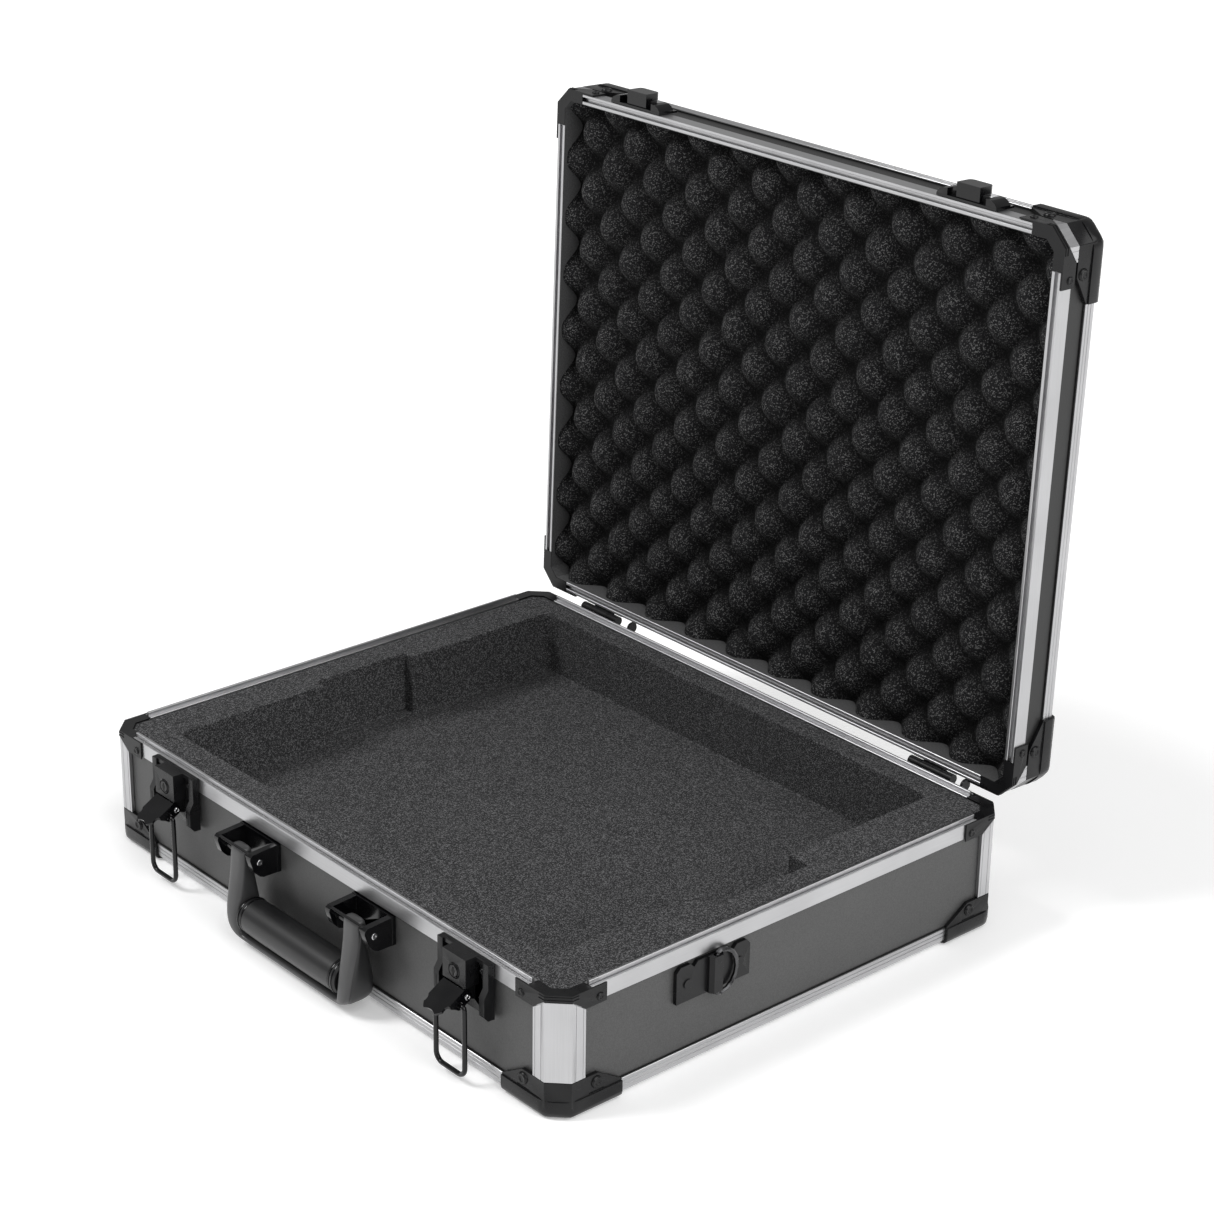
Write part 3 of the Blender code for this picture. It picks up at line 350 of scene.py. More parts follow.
def foam(name, dark, light, speck, cell, rarity, hollow=None):
    """Open-cell foam: dark pores, lighter cell walls and small glinting strands, fewer as rarity rises; when
    hollow is given, painted shade takes the colour towards it in the egg-crate's hollows.
    """
    nodes = Nodes(name)
    pores = nodes.cells(cell)
    fine = nodes.noise(cell * 1.4, 2.0, 0.7)
    cloud = nodes.noise(30.0, 3.0)
    walls = nodes.ramp(pores, [(0.1, dark), (0.7, light)])
    tone = nodes.mix(0.5, walls, nodes.ramp(fine, [(0.4, dark), (0.6, light)]))
    tone = nodes.mix(0.15, tone, nodes.ramp(cloud, [(0.3, dark), (0.7, light)]))
    chance = nodes.cells(cell * 1.5, output="Color")
    strands = nodes.ramp(chance, [(rarity, 0.0), (rarity + 0.13, 1.0)])
    colour = nodes.mix(strands, tone, (*speck, 1.0))
    # Painted shade: the colour goes towards the hollow colour the deeper a point lies in the egg crate.
    if hollow:
        depth = nodes.add("ShaderNodeAttribute", attribute_name="depth").outputs["Fac"]
        colour = nodes.mix(nodes.remap(depth, 0.25, 0.95, 0.0, 0.9), colour, (*hollow, 1.0))
    roughness = nodes.remap(fine, 0.3, 0.7, 0.85, 1.0)
    normal = nodes.bump(pores, 0.8, 0.0006, nodes.bump(fine, 0.5, 0.0005))
    return nodes.finish(colour, roughness, normal, specular=0.15)


def liner_cloth():
    """Smooth dark felt that lines the lid's sides."""
    nodes = Nodes("liner_cloth")
    fibres = nodes.noise(900.0, 4.0)
    colour = nodes.ramp(fibres, [(0.3, (0.055, 0.055, 0.056)), (0.7, (0.095, 0.095, 0.096))])
    roughness = nodes.remap(fibres, 0.3, 0.7, 0.75, 0.9)
    return nodes.finish(colour, roughness, nodes.bump(fibres, 0.3, 0.0002), specular=0.2)


def plastic(name, dark, light, rough):
    """Moulded plastic with a fine satin texture."""
    nodes = Nodes(name)
    cloud = nodes.noise(35.0, 3.0)
    grain = nodes.noise(1800.0, 2.0)
    colour = nodes.ramp(cloud, [(0.3, dark), (0.7, light)])
    roughness = nodes.remap(grain, 0.3, 0.7, rough, rough + 0.1)
    return nodes.finish(colour, roughness, nodes.bump(grain, 0.2, 0.00015), specular=0.5)


def floor_white():
    nodes = Nodes("floor_white")
    cloud = nodes.noise(3.0, 2.0)
    colour = nodes.ramp(cloud, [(0.3, 0.9), (0.7, 0.92)])
    nodes.shader.inputs["Emission Color"].default_value = (1.0, 1.0, 1.0, 1.0)
    nodes.shader.inputs["Emission Strength"].default_value = FLOOR_GLOW
    return nodes.finish(colour, nodes.remap(cloud, 0.3, 0.7, 0.85, 0.9), specular=0.1)


FOAM_CELL = 1100.0
FINE = 2600.0
COARSE = 22.0
MATERIALS = {
    "base_extrusion": aluminium("base_extrusion", (COARSE, COARSE, FINE)),
    "lid_extrusion": aluminium("lid_extrusion", (COARSE, FINE, COARSE)),
    "base_upright": aluminium("base_upright", (FINE, FINE, COARSE)),
    "lid_upright": aluminium("lid_upright", (FINE, COARSE, FINE)),
    "panel_laminate": laminate("panel_laminate", 0.85),
    "wall_laminate": laminate("wall_laminate", 0.18),
    "black_steel": black_steel(),
    "gloss_black": gloss_black(),
    "bright_steel": bright_steel(),
    "dark_steel": dark_steel(),
    "painted_shade_black": painted_shade_black(),
    "base_foam": foam(
        "base_foam", (0.004, 0.004, 0.0045), (0.05, 0.05, 0.0515), (0.13, 0.13, 0.133), FOAM_CELL, 0.6,
    ),
    # The lid foam's hollow colour is painted shade in the egg-crate's hollows.
    "lid_foam": foam(
        "lid_foam", (0.0015, 0.0015, 0.002), (0.014, 0.014, 0.015), (0.12, 0.12, 0.12), FOAM_CELL, 0.68,
        hollow=(0.0005, 0.0005, 0.0005),
    ),
    "liner_cloth": liner_cloth(),
    "handle_plastic": plastic("handle_plastic", (0.036, 0.036, 0.037), (0.047, 0.047, 0.048), 0.28),
    "handle_grip": plastic("handle_grip", (0.006, 0.006, 0.0065), (0.01, 0.01, 0.0105), 0.32),
    "floor_white": floor_white(),
}


# ---------------------------------------------------------------- meshes

def to_mesh(bm, name):
    bmesh.ops.recalc_face_normals(bm, faces=bm.faces)
    mesh = bpy.data.meshes.new(name)
    bm.to_mesh(mesh)
    bm.free()
    return mesh


def turn_to(axis):
    """Rotation that takes the Z axis to the named axis."""
    if axis == "X":
        return Matrix(((0, 0, 1, 0), (1, 0, 0, 0), (0, 1, 0, 0), (0, 0, 0, 1)))
    if axis == "Y":
        return Matrix(((1, 0, 0, 0), (0, 0, -1, 0), (0, 1, 0, 0), (0, 0, 0, 1)))
    raise ValueError(axis)


def box(x_range, y_range, z_range):
    bm = bmesh.new()
    bmesh.ops.create_cube(bm, size=1.0)
    ranges = (x_range, y_range, z_range)
    bmesh.ops.scale(bm, vec=[high - low for low, high in ranges], verts=bm.verts)
    bmesh.ops.translate(bm, vec=[(high + low) / 2 for low, high in ranges], verts=bm.verts)
    return to_mesh(bm, "box")


def prism(outline, low, high):
    """A flat outline extruded along Z."""
    bm = bmesh.new()
    bottom = [bm.verts.new((u, v, low)) for u, v in outline]
    top = [bm.verts.new((u, v, high)) for u, v in outline]
    bm.faces.new(bottom)
    bm.faces.new(top)
    for index, vertex in enumerate(bottom):
        after = (index + 1) % len(outline)
        bm.faces.new((vertex, bottom[after], top[after], top[index]))
    return to_mesh(bm, "prism")


def lathe(profile, segments=32):
    """A profile of (radius, height) turned round Z; a radius of 0 closes it at the axis."""
    bm = bmesh.new()
    rings = []
    for radius, height in profile:
        count = segments if radius > 0 else 1
        ring = []
        for step in range(count):
            angle = 2 * math.pi * step / count
            ring.append(bm.verts.new((radius * math.cos(angle), radius * math.sin(angle), height)))
        rings.append(ring)
    for first, second in zip(rings, rings[1:]):
        for step in range(segments):
            after = (step + 1) % segments
            corners = [first[step % len(first)], first[after % len(first)]]
            corners += [second[after % len(second)], second[step % len(second)]]
            bm.faces.new(list(dict.fromkeys(corners)))
    return to_mesh(bm, "lathe")


def tube(points, radius):
    """A round wire on a smooth curve along points."""
    curve = bpy.data.curves.new("wire", "CURVE")
    curve.dimensions = "3D"
    curve.bevel_depth = radius
    curve.bevel_resolution = 4
    curve.use_fill_caps = True
    spline = curve.splines.new("NURBS")
    spline.points.add(len(points) - 1)
    for point, place in zip(spline.points, points):
        point.co = (*place, 1)
    spline.order_u = 3
    spline.use_endpoint_u = True
    spline.resolution_u = 4
    holder = bpy.data.objects.new("wire", curve)
    bpy.context.scene.collection.objects.link(holder)
    mesh = evaluated(holder)
    bpy.data.objects.remove(holder, do_unlink=True)
    return mesh


def evaluated(item):
    """The shape of an object with its modifiers, as a new mesh."""
    bpy.context.view_layer.update()
    return bpy.data.meshes.new_from_object(item.evaluated_get(bpy.context.evaluated_depsgraph_get()))


def joined(meshes):
    """Several meshes as one."""
    bm = bmesh.new()
    for mesh in meshes:
        bm.from_mesh(mesh)
    mesh = bpy.data.meshes.new("joined")
    bm.to_mesh(mesh)
    bm.free()
    return mesh


def placed(mesh, matrix):
    copy = mesh.copy()
    copy.transform(matrix)
    if matrix.is_negative:
        copy.flip_normals()
    return copy


def combined(mesh, cut):
    """A solid with others cut away from it."""
    target = bpy.data.objects.new("target", mesh)
    bpy.context.scene.collection.objects.link(target)
    tools = []
    for solid in cut:
        tool = bpy.data.objects.new("tool", solid)
        bpy.context.scene.collection.objects.link(tool)
        modifier = target.modifiers.new("cut", "BOOLEAN")
        modifier.operation = "DIFFERENCE"
        modifier.object = tool
        modifier.solver = "EXACT"
        tools.append(tool)
    result = evaluated(target)
    for item in (target, *tools):
        bpy.data.objects.remove(item, do_unlink=True)
    return result


def piece(name, mesh, material, body, replaced=(), bevel=0.0, segments=2, angle=35):
    """A finished piece that rides on a body, with its sharp edges rounded by bevel."""
    mesh.materials.clear()
    mesh.materials.append(MATERIALS[material])
    mesh.shade_smooth()
    mesh.set_sharp_from_angle(angle=math.radians(angle))
    item = bpy.data.objects.new(name, mesh)
    bpy.context.scene.collection.objects.link(item)
    if bevel:
        modifier = item.modifiers.new("rounded", "BEVEL")
        modifier.width = bevel
        modifier.segments = segments
        modifier.limit_method = "ANGLE"
        modifier.angle_limit = math.radians(angle)
        modifier.harden_normals = True
        modifier.miter_outer = "MITER_ARC"
    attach(item, body)
    if replaced:
        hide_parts(*replaced)
    return item


def cad_copy(node):
    """A CAD node's mesh, welded and with its flat faces whole."""
    bm = bmesh.new()
    bm.from_mesh(frame["nodes"][node].data)
    bmesh.ops.remove_doubles(bm, verts=bm.verts, dist=2e-6)
    bmesh.ops.dissolve_limit(bm, angle_limit=math.radians(0.6), verts=bm.verts, edges=bm.edges)
    return to_mesh(bm, node)


def refined(node, material, bevel, cut=(), segments=2, angle=32):
    """A CAD node's shape with rounded edges and its own finish, in place of the node."""
    mesh = cad_copy(node)
    if cut:
        mesh = combined(mesh, cut=cut)
    body = frame["nodes"][node]["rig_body"]
    return piece(f"{node}_finish", mesh, material, body, (node,), bevel, segments, angle)


# ---------------------------------------------------------------- outlines

def cut_at(inset):
    return CORNER_CUT - inset * (2 - math.sqrt(2))


def octagon(inset):
    """Outline of the case in plan, moved in by inset."""
    x = WIDTH / 2 - inset
    y = DEPTH / 2 - inset
    cut = cut_at(inset)
    return [
        (x - cut, -y), (x, cut - y), (x, y - cut), (x - cut, y),
        (cut - x, y), (-x, y - cut), (-x, cut - y), (cut - x, -y),
    ]


def swept_ring(profile):
    """A closed profile of (inset, height) carried round the case's outline."""
    bm = bmesh.new()
    outlines = [octagon(inset) for inset, _ in profile]
    loops = []
    for corner in range(8):
        loop = []
        for outline, (_, height) in zip(outlines, profile):
            loop.append(bm.verts.new((*outline[corner], height)))
        loops.append(loop)
    for corner, here in enumerate(loops):
        beyond = loops[(corner + 1) % 8]
        for index in range(len(profile)):
            after = (index + 1) % len(profile)
            bm.faces.new((here[index], beyond[index], beyond[after], here[after]))
    return to_mesh(bm, "ring")


def corner_strip(outer, inner, reach):
    """Plan of a strip bent round a case corner; the sharp corner is the origin."""
    near = outer + cut_at(outer)
    far = inner + cut_at(inner)
    return [
        (near, outer), (reach, outer), (reach, inner), (far, inner),
        (inner, far), (inner, reach), (outer, reach), (outer, near),
    ]


def corner_places(place, height, lid):
    """Matrix of each case corner's own frame, by the corner's name."""
    places = {}
    for corner, (x_sign, y_sign, turn) in CORNERS.items():
        location = Matrix.Translation((x_sign * WIDTH / 2, y_sign * DEPTH / 2, height))
        angles = (math.pi, 0, math.radians(turn + 90)) if lid else (0, 0, math.radians(turn))
        places[corner] = place @ location @ Euler(angles).to_matrix().to_4x4()
    return places


# ---------------------------------------------------------------- extrusions and panels

def corner_cutters(place, low, high):
    """Blocks over the case's corners, where the rim fittings lie on the rim."""
    x = WIDTH / 2 - LEAF_REACH - 0.3 * MM
    y = DEPTH / 2 - LEAF_REACH - 0.3 * MM
    blocks = []
    for x_sign, y_sign, _ in CORNERS.values():
        x_range = sorted((x_sign * x, x_sign * WIDTH))
        y_range = sorted((y_sign * y, y_sign * DEPTH))
        blocks.append(placed(box(x_range, y_range, (low, high)), place))
    return blocks


def rim_profile_base():
    """Outer band, rim face with the raised tongue, inner leg and hollow underside."""
    soft = SOFTENED
    top = -PARTING
    near, far = TONGUE
    return [
        (0.25 * MM, -RIM_BAND), (0, 0.25 * MM - RIM_BAND), (0, top - 2 * soft),
        (0.3 * soft, top - 0.7 * soft),
        (soft, top), (near - 0.5 * MM, top), (near - 0.4 * MM, top - 0.4 * MM), (near, top - 0.4 * MM),
        (near, TONGUE_HEIGHT - soft), (near + soft, TONGUE_HEIGHT), (far - soft, TONGUE_HEIGHT),
        (far, TONGUE_HEIGHT - soft), (far, top), (RIM_WIDTH - soft, top), (RIM_WIDTH, top - soft),
        (RIM_WIDTH, -RIM_BAND), (RIM_WIDTH - SKIN, -RIM_BAND), (RIM_WIDTH - SKIN, -WEB), (SKIN, -WEB),
        (SKIN, -RIM_BAND),
    ]


def rim_profile_lid():
    """The same band for the lid, with a groove for the tongue in its face."""
    soft = SOFTENED
    low = PARTING
    web = GROOVE_DEPTH + SKIN
    near, far = GROOVE
    return [
        (0, RIM_BAND - 0.25 * MM), (0.25 * MM, RIM_BAND), (SKIN, RIM_BAND), (SKIN, web),
        (RIM_WIDTH - SKIN, web), (RIM_WIDTH - SKIN, RIM_BAND), (RIM_WIDTH, RIM_BAND), (RIM_WIDTH, low + soft),
        (RIM_WIDTH - soft, low), (far + soft, low), (far, low + soft), (far, GROOVE_DEPTH),
        (near, GROOVE_DEPTH), (near, low + soft), (near - soft, low), (soft, low),
        (0.3 * soft, low + 0.7 * soft), (0, low + 2 * soft),
    ]


def edge_profile():
    """Edge extrusion, with height above the outer face of base or lid."""
    groove = RIDGE_GROOVE
    points = [(SKIN, EDGE_BAND), (0.2 * MM, EDGE_BAND), (0, EDGE_BAND - 0.2 * MM)]
    for height in (9.6 * MM, 6.9 * MM):
        points += [(0, height + 0.4 * MM), (groove, height + 0.2 * MM)]
        points += [(groove, height - 0.2 * MM), (0, height - 0.4 * MM)]
    centre = EDGE_RECESS + EDGE_RADIUS
    for step in range(7):
        angle = math.pi + math.pi / 2 * step / 6
        points.append((EDGE_RADIUS * (1 + math.cos(angle)), centre + EDGE_RADIUS * math.sin(angle)))
    shelf = EDGE_RECESS + EDGE_WALL
    points += [(EDGE_FLANGE, EDGE_RECESS), (EDGE_FLANGE, shelf), (5.2 * MM, shelf), (5.2 * MM, 5.8 * MM)]
    points.append((SKIN, 5.8 * MM))
    return points


def shadow_line_strip(high, low):
    """Painted shadow line: a dark strip where a panel enters an extrusion, in place of the shade in the gap.
    """
    return swept_ring([(0.7 * MM, low), (0.7 * MM, high), (3 * MM, high), (3 * MM, low)])


def build_extrusions():
    recess = PARTING + LEAF_THICKNESS + 0.3 * MM
    base = combined(swept_ring(rim_profile_base()), cut=corner_cutters(Matrix(), -recess, 6 * MM))
    piece("base_rim_extrusion", placed(base, BASE_PLACE), "base_extrusion", "base", ("base_rim",))
    lid = combined(swept_ring(rim_profile_lid()), cut=corner_cutters(Matrix(), -6 * MM, recess))
    piece("lid_rim_extrusion", placed(lid, LID_PLACE), "lid_extrusion", "lid", ("lid_rim",))
    bottom = Matrix.Translation((0, 0, -BASE_HEIGHT))
    turned = Matrix.Translation((0, 0, LID_HEIGHT)) @ Matrix.Scale(-1, 4, (0, 0, 1))
    edge = swept_ring(edge_profile())
    base_edge = placed(edge, BASE_PLACE @ bottom)
    piece("base_edge_extrusion", base_edge, "base_extrusion", "base", ("base_bottom_edge",))
    lid_edge = placed(edge, LID_PLACE @ turned)
    piece("lid_edge_extrusion", lid_edge, "lid_extrusion", "lid", ("lid_top_edge",))
    # Painted shadow lines: dark strips along the gaps between the panels and the extrusions.
    seam = shadow_line_strip(EDGE_BAND + 0.7 * MM, EDGE_BAND - 0.5 * MM)
    piece("base_edge_shadow_line", placed(seam, BASE_PLACE @ bottom), "painted_shade_black", "base")
    piece("lid_edge_shadow_line", placed(seam, LID_PLACE @ turned), "painted_shade_black", "lid")
    rim_seam = shadow_line_strip(-RIM_BAND + 0.5 * MM, -RIM_BAND - 0.45 * MM)
    piece("base_rim_shadow_line", placed(rim_seam, BASE_PLACE), "painted_shade_black", "base")
    lid_seam = shadow_line_strip(RIM_BAND + 0.7 * MM, RIM_BAND - 0.5 * MM)
    piece("lid_rim_shadow_line", placed(lid_seam, LID_PLACE), "painted_shade_black", "lid")


def build_panels():
    for node in frame["nodes"]:
        if node.endswith("_panel") or node == "lid_wall":
            refined(node, "wall_laminate" if node == "lid_wall" else "panel_laminate", 0.2 * MM)


# ---------------------------------------------------------------- corners

def post_grooves():
    """Cutters for the lengthwise lines in a corner extrusion."""
    cutters = []
    for along in (18.3 * MM, 13.0 * MM):
        cutters.append(box((along - 0.25 * MM, along + 0.25 * MM), (-2 * MM, 0.35 * MM - PROUD), (-0.2, 0)))
        cutters.append(box((-2 * MM, 0.35 * MM - PROUD), (along - 0.25 * MM, along + 0.25 * MM), (-0.2, 0)))
    return cutters


def rivet(radius, height):
    """A ringed head with a dished middle, standing along Z."""
    profile = [
        (0, 0.62), (0.42, 0.62), (0.5, 0.85), (0.62, 1.0), (0.8, 1.0), (0.93, 0.75), (1.08, 0.3), (1.1, 0),
    ]
    return lathe([(radius * r, height * h) for r, h in reversed(profile)])


def face_turns(along, height, out):
    """Frames of a fitting's two faces, with Z pointing out of the face."""
    front = Matrix.Translation((along, -out, height)) @ Matrix.Rotation(math.pi / 2, 4, "X")
    side = Matrix.Translation((-out, along, height)) @ Matrix.Rotation(-math.pi / 2, 4, "Y")
    return front, side


def build_corners():
    halves = (("base", BASE_PLACE, 0, -BASE_HEIGHT, False), ("lid", LID_PLACE, 0, LID_HEIGHT, True))
    for half, place, parting, outer, is_lid in halves:
        upright = f"{half}_upright"
        rims = corner_places(place, parting, is_lid)
        balls = corner_places(place, outer, is_lid)
        for corner in CORNERS:
            grooves = [placed(cutter, rims[corner]) for cutter in post_grooves()]
            refined(f"{half}_post_{corner}", upright, 0.15 * MM, cut=grooves)
            refined(f"{half}_rim_corner_{corner}", "black_steel", 0.35 * MM)
            slot = box((23 * MM, 34 * MM), (-5 * MM, 0.5 * MM - PROUD), (12.6 * MM, 13.3 * MM))
            twin = box((-5 * MM, 0.5 * MM - PROUD), (23 * MM, 34 * MM), (12.6 * MM, 13.3 * MM))
            slots = [placed(cutter, balls[corner]) for cutter in (slot, twin)]
            refined(f"{half}_ball_corner_{corner}", "black_steel", 0.7 * MM, cut=slots, segments=3)
            heads = []
            for turn in face_turns(*WING_SCREW, PROUD):
                heads.append(placed(rivet(2.4 * MM, 1.0 * MM), rims[corner] @ turn))
            for turn in face_turns(*BALL_RIVET, PROUD):
                heads.append(placed(rivet(3.6 * MM, 1.45 * MM), balls[corner] @ turn))
            piece(f"{half}_rivets_{corner}", joined(heads), "black_steel", half)
            ridges = []
            for high in RIDGE_TOPS:
                outline = corner_strip(-PROUD - 0.45 * MM, -PROUD + 0.2 * MM, RIDGE_REACH)
                ridges.append(placed(prism(outline, high - RIDGE_HEIGHT, high), rims[corner]))
            piece(f"{half}_corner_ridges_{corner}", joined(ridges), "black_steel", half, bevel=0.2 * MM)


# ---------------------------------------------------------------- foam

def knob(u, v):
    """Level of the egg-crate surface, from 1 on a crest to -1 in a hollow; crests are where u + v is even."""
    along = (u + v) / 2
    across = (u - v) / 2
    distance = math.hypot(along - round(along), across - round(across)) * math.sqrt(2)
    fall = min(max((distance - CREST_FLAT) / (1 - CREST_FLAT), 0), 1)
    return 1 - 2 * fall * fall * (3 - 2 * fall)


def shade_hollows(mesh):
    """Stores how deep each point lies in the egg-crate, for the painted shade that darkens the foam's colour
    in the hollows.
    """
    depth = mesh.attributes.new("depth", "FLOAT", "POINT")
    low = BUMP_MIDDLE - BUMP_HEIGHT
    for index, vertex in enumerate(mesh.vertices):
        depth.data[index].value = min(max((vertex.co.z - low) / (2 * BUMP_HEIGHT), 0), 1)
    return mesh


def egg_crate():
    """Convoluted foam facing down: rounded crests in a chequered pattern, cut square at the sides."""
    x = WIDTH / 2 - FOAM_INSET - 0.1 * MM
    y = DEPTH / 2 - FOAM_INSET - 0.1 * MM
    columns = round(2 * x / BUMP_PITCH)
    rows = round(2 * y / BUMP_PITCH)
    bm = bmesh.new()
    steps = [round(2 * reach / BUMP_STEP) for reach in (x, y)]
    bmesh.ops.create_grid(bm, x_segments=steps[0], y_segments=steps[1], size=1.0)
    for vertex in bm.verts:
        u = (vertex.co.x + 1) / 2 * columns
        v = (vertex.co.y + 1) / 2 * rows
        height = knob(u, v)
        vertex.co = (vertex.co.x * x, vertex.co.y * y, BUMP_MIDDLE - height * BUMP_HEIGHT)
    corner = (x + y - cut_at(FOAM_INSET)) / math.sqrt(2)
    for x_sign, y_sign, _ in CORNERS.values():
        normal = Vector((x_sign, y_sign, 0)).normalized()
        geometry = [*bm.verts, *bm.edges, *bm.faces]
        bmesh.ops.bisect_plane(bm, geom=geometry, plane_co=normal * corner, plane_no=normal, clear_outer=True)
    rim = [edge for edge in bm.edges if edge.is_boundary]
    sides = bmesh.ops.extrude_edge_only(bm, edges=rim)
    for item in sides["geom"]:
        if isinstance(item, bmesh.types.BMVert):
            item.co.z = FOAM_BACK
    back = [edge for edge in bm.edges if edge.is_boundary]
    bmesh.ops.edgeloop_fill(bm, edges=back)
    return to_mesh(bm, "egg_crate")


def build_foam():
    crate = placed(shade_hollows(egg_crate()), LID_PLACE)
    lid = piece("lid_egg_crate_foam", crate, "lid_foam", "lid", ("lid_foam",), angle=60)
    base = refined("base_foam", "base_foam", 0.9 * MM, segments=3)
    near, far = LINER_INSETS
    low, high = LINER_HEIGHTS
    profile = [(near, low), (near, high), (far, high), (far, low)]
    piece("lid_liner", placed(swept_ring(profile), LID_PLACE), "liner_cloth", "lid")


# ---------------------------------------------------------------- fittings

def coil(radius, low, high, turns, wire):
    """A spring round the X axis."""
    steps = turns * COIL_STEPS
    points = []
    for step in range(steps + 1):
        angle = 2 * math.pi * step / COIL_STEPS
        along = low + (high - low) * step / steps
        points.append((along, radius * math.cos(angle), radius * math.sin(angle)))
    return tube(points, wire)


def pin_end(end, reach):
    """Frame of a pin's end, with Z pointing away from its middle along X."""
    return Matrix.Translation((end * reach, 0, 0)) @ Matrix.Rotation(end * math.pi / 2, 4, "Y")


def rod(radius, x, z):
    """A round cutter along Y at x and z, through a lever's plate."""
    low, high = LEVER_CUT
    mesh = lathe([(0, -high), (radius, -high), (radius, -low), (0, -low)])
    mesh.transform(Matrix.Translation((x, 0, z)) @ turn_to("Y"))
    return mesh


def lever_shaping(place):
    """Waists at both edges of a lever and the hollow at its tip, cut square to its plate."""
    swung = place @ Matrix.Translation((0, *LATCH_PIVOT)) @ Matrix.Rotation(-LEVER_REST, 4, "X")
    radius, x, z = LEVER_WAIST
    cutters = [rod(radius, end * x, z) for end in (-1, 1)]
    cutters.append(rod(*LEVER_TIP))
    return [placed(cutter, swung) for cutter in cutters]


def build_latches():
    facing = Matrix.Rotation(math.pi / 2, 4, "X")
    for side, sign in SIDES.items():
        place = BASE_PLACE @ Matrix.Translation((sign * LATCH_X, -DEPTH / 2, 0))
        refined(f"latch_housing_{side}", "black_steel", 0.35 * MM)
        refined(f"latch_lever_{side}", "gloss_black", 0.3 * MM, cut=lever_shaping(place))
        refined(f"latch_catch_{side}", "gloss_black", 0.8 * MM, segments=3)
        refined(f"latch_bail_pin_{side}", "bright_steel", 0.3 * MM)
        refined(f"lock_cylinder_{side}", "black_steel", 0.2 * MM)
        # Painted shade: a dark disc and slot standing in for the shaded inside of the keyhole.
        hole = lathe([(0, 0.74 * MM), (1.6 * MM, 0.74 * MM), (1.65 * MM, 0.5 * MM)], 20)
        slot = box((-0.75 * MM, 0.75 * MM), (-3.2 * MM, 0), (0.4 * MM, 0.745 * MM))
        lock = place @ Matrix.Translation((0, -LOCK_FACE, -LOCK_DROP)) @ facing
        piece(f"keyhole_{side}", placed(joined([hole, slot]), lock), "painted_shade_black", f"lock_{side}")
        springs = []
        for end in (-1, 1):
            span = sorted(end * limit for limit in SPRING_SPAN)
            springs.append(coil(SPRING_RADIUS, *span, SPRING_TURNS, SPRING_WIRE))
        pivot = place @ Matrix.Translation((0, *LATCH_PIVOT))
        piece(f"latch_spring_{side}", placed(joined(springs), pivot), "bright_steel", "base")
        caps = []
        for end in (-1, 1):
            caps.append(placed(rivet(1.9 * MM, 0.9 * MM), pivot @ pin_end(end, LEVER_PIN_END)))
        piece(f"latch_pin_ends_{side}", joined(caps), "bright_steel", "base")
        collar = lathe([(r * MM, z * MM) for r, z in LOCK_COLLAR])
        piece(f"lock_collar_{side}", placed(collar, lock), "black_steel", "base")
        # Painted shade: dark blocks standing in for the shaded insides of the housing's slits.
        slits = []
        for end in (-1, 1):
            x_range = sorted(end * limit for limit in SLIT_SPAN)
            slits.append(box(x_range, (-8.06 * MM, -7 * MM), (-32.5 * MM, -24.5 * MM)))
        piece(f"latch_slit_shade_{side}", placed(joined(slits), place), "painted_shade_black", "base")
        heads = []
        x, y, z = HOUSING_RIVET
        for end in (-1, 1):
            turn = Matrix.Translation((end * x, y, z)) @ facing
            heads.append(placed(rivet(2.0 * MM, 1.2 * MM), place @ turn))
        piece(f"latch_rivets_{side}", joined(heads), "black_steel", "base")


def loft(sections):
    """A closed skin over closed sections that all have the same number of points."""
    bm = bmesh.new()
    loops = [[bm.verts.new(point) for point in section] for section in sections]
    for here, beyond in zip(loops, loops[1:]):
        for index in range(len(here)):
            after = (index + 1) % len(here)
            bm.faces.new((here[index], here[after], beyond[after], beyond[index]))
    bm.faces.new(loops[0])
    bm.faces.new(loops[-1])
    return to_mesh(bm, "loft")


def handle_stations():
    """Outer point, inner point and half width of the handle, from the right arm's top to the middle."""
    near, far = HANDLE_ARM
    low = -HANDLE_LOW
    bend = far - HANDLE_RADIUS
    stations = [((far - 2.2 * MM, 5.2 * MM), (near + 2.2 * MM, 5.2 * MM), 2.6 * MM)]
    for height, half in ((3.6, 4.2), (0, 4.7), (-8, 5.2), (-17, 6.6), (-27, 8.6), (-38, 10.6)):
        stations.append(((far, height * MM), (near, height * MM), half * MM))
    inner = ((near, -44.0 * MM), (near - 0.2 * MM, -48.0 * MM), (near - 1.0 * MM, -51.5 * MM))
    halves = (11.1 * MM, 11.0 * MM, 9.8 * MM)
    for step, (point, half) in enumerate(zip(inner, halves), 1):
        angle = -math.pi / 8 * step
        outer = (bend + HANDLE_RADIUS * math.cos(angle), low + HANDLE_RADIUS * (1 + math.sin(angle)))
        stations.append((outer, point, half))
    for x in (bend, 38 * MM, 0):
        stations.append(((x, low), (x, low + 4.0 * MM), 8.8 * MM))
    return stations


def rounded_section(outer, inner, half):
    """A soft-cornered rectangle between two points of the XZ plane, as wide as half each way in Y."""
    middle = [(a + b) / 2 for a, b in zip(outer, inner)]
    reach = [(a - b) / 2 for a, b in zip(outer, inner)]
    points = []
    for step in range(SECTION_STEPS):
        angle = 2 * math.pi * step / SECTION_STEPS
        across = math.copysign(abs(math.cos(angle)) ** SECTION_POWER, math.cos(angle))
        along = math.copysign(abs(math.sin(angle)) ** SECTION_POWER, math.sin(angle))
        points.append((middle[0] + reach[0] * across, half * along, middle[1] + reach[1] * across))
    return points


def handle_loop():
    stations = handle_stations()
    right = [rounded_section(*station) for station in stations]
    left = [[(-x, y, z) for x, y, z in section] for section in reversed(right[:-1])]
    return loft(right + left)


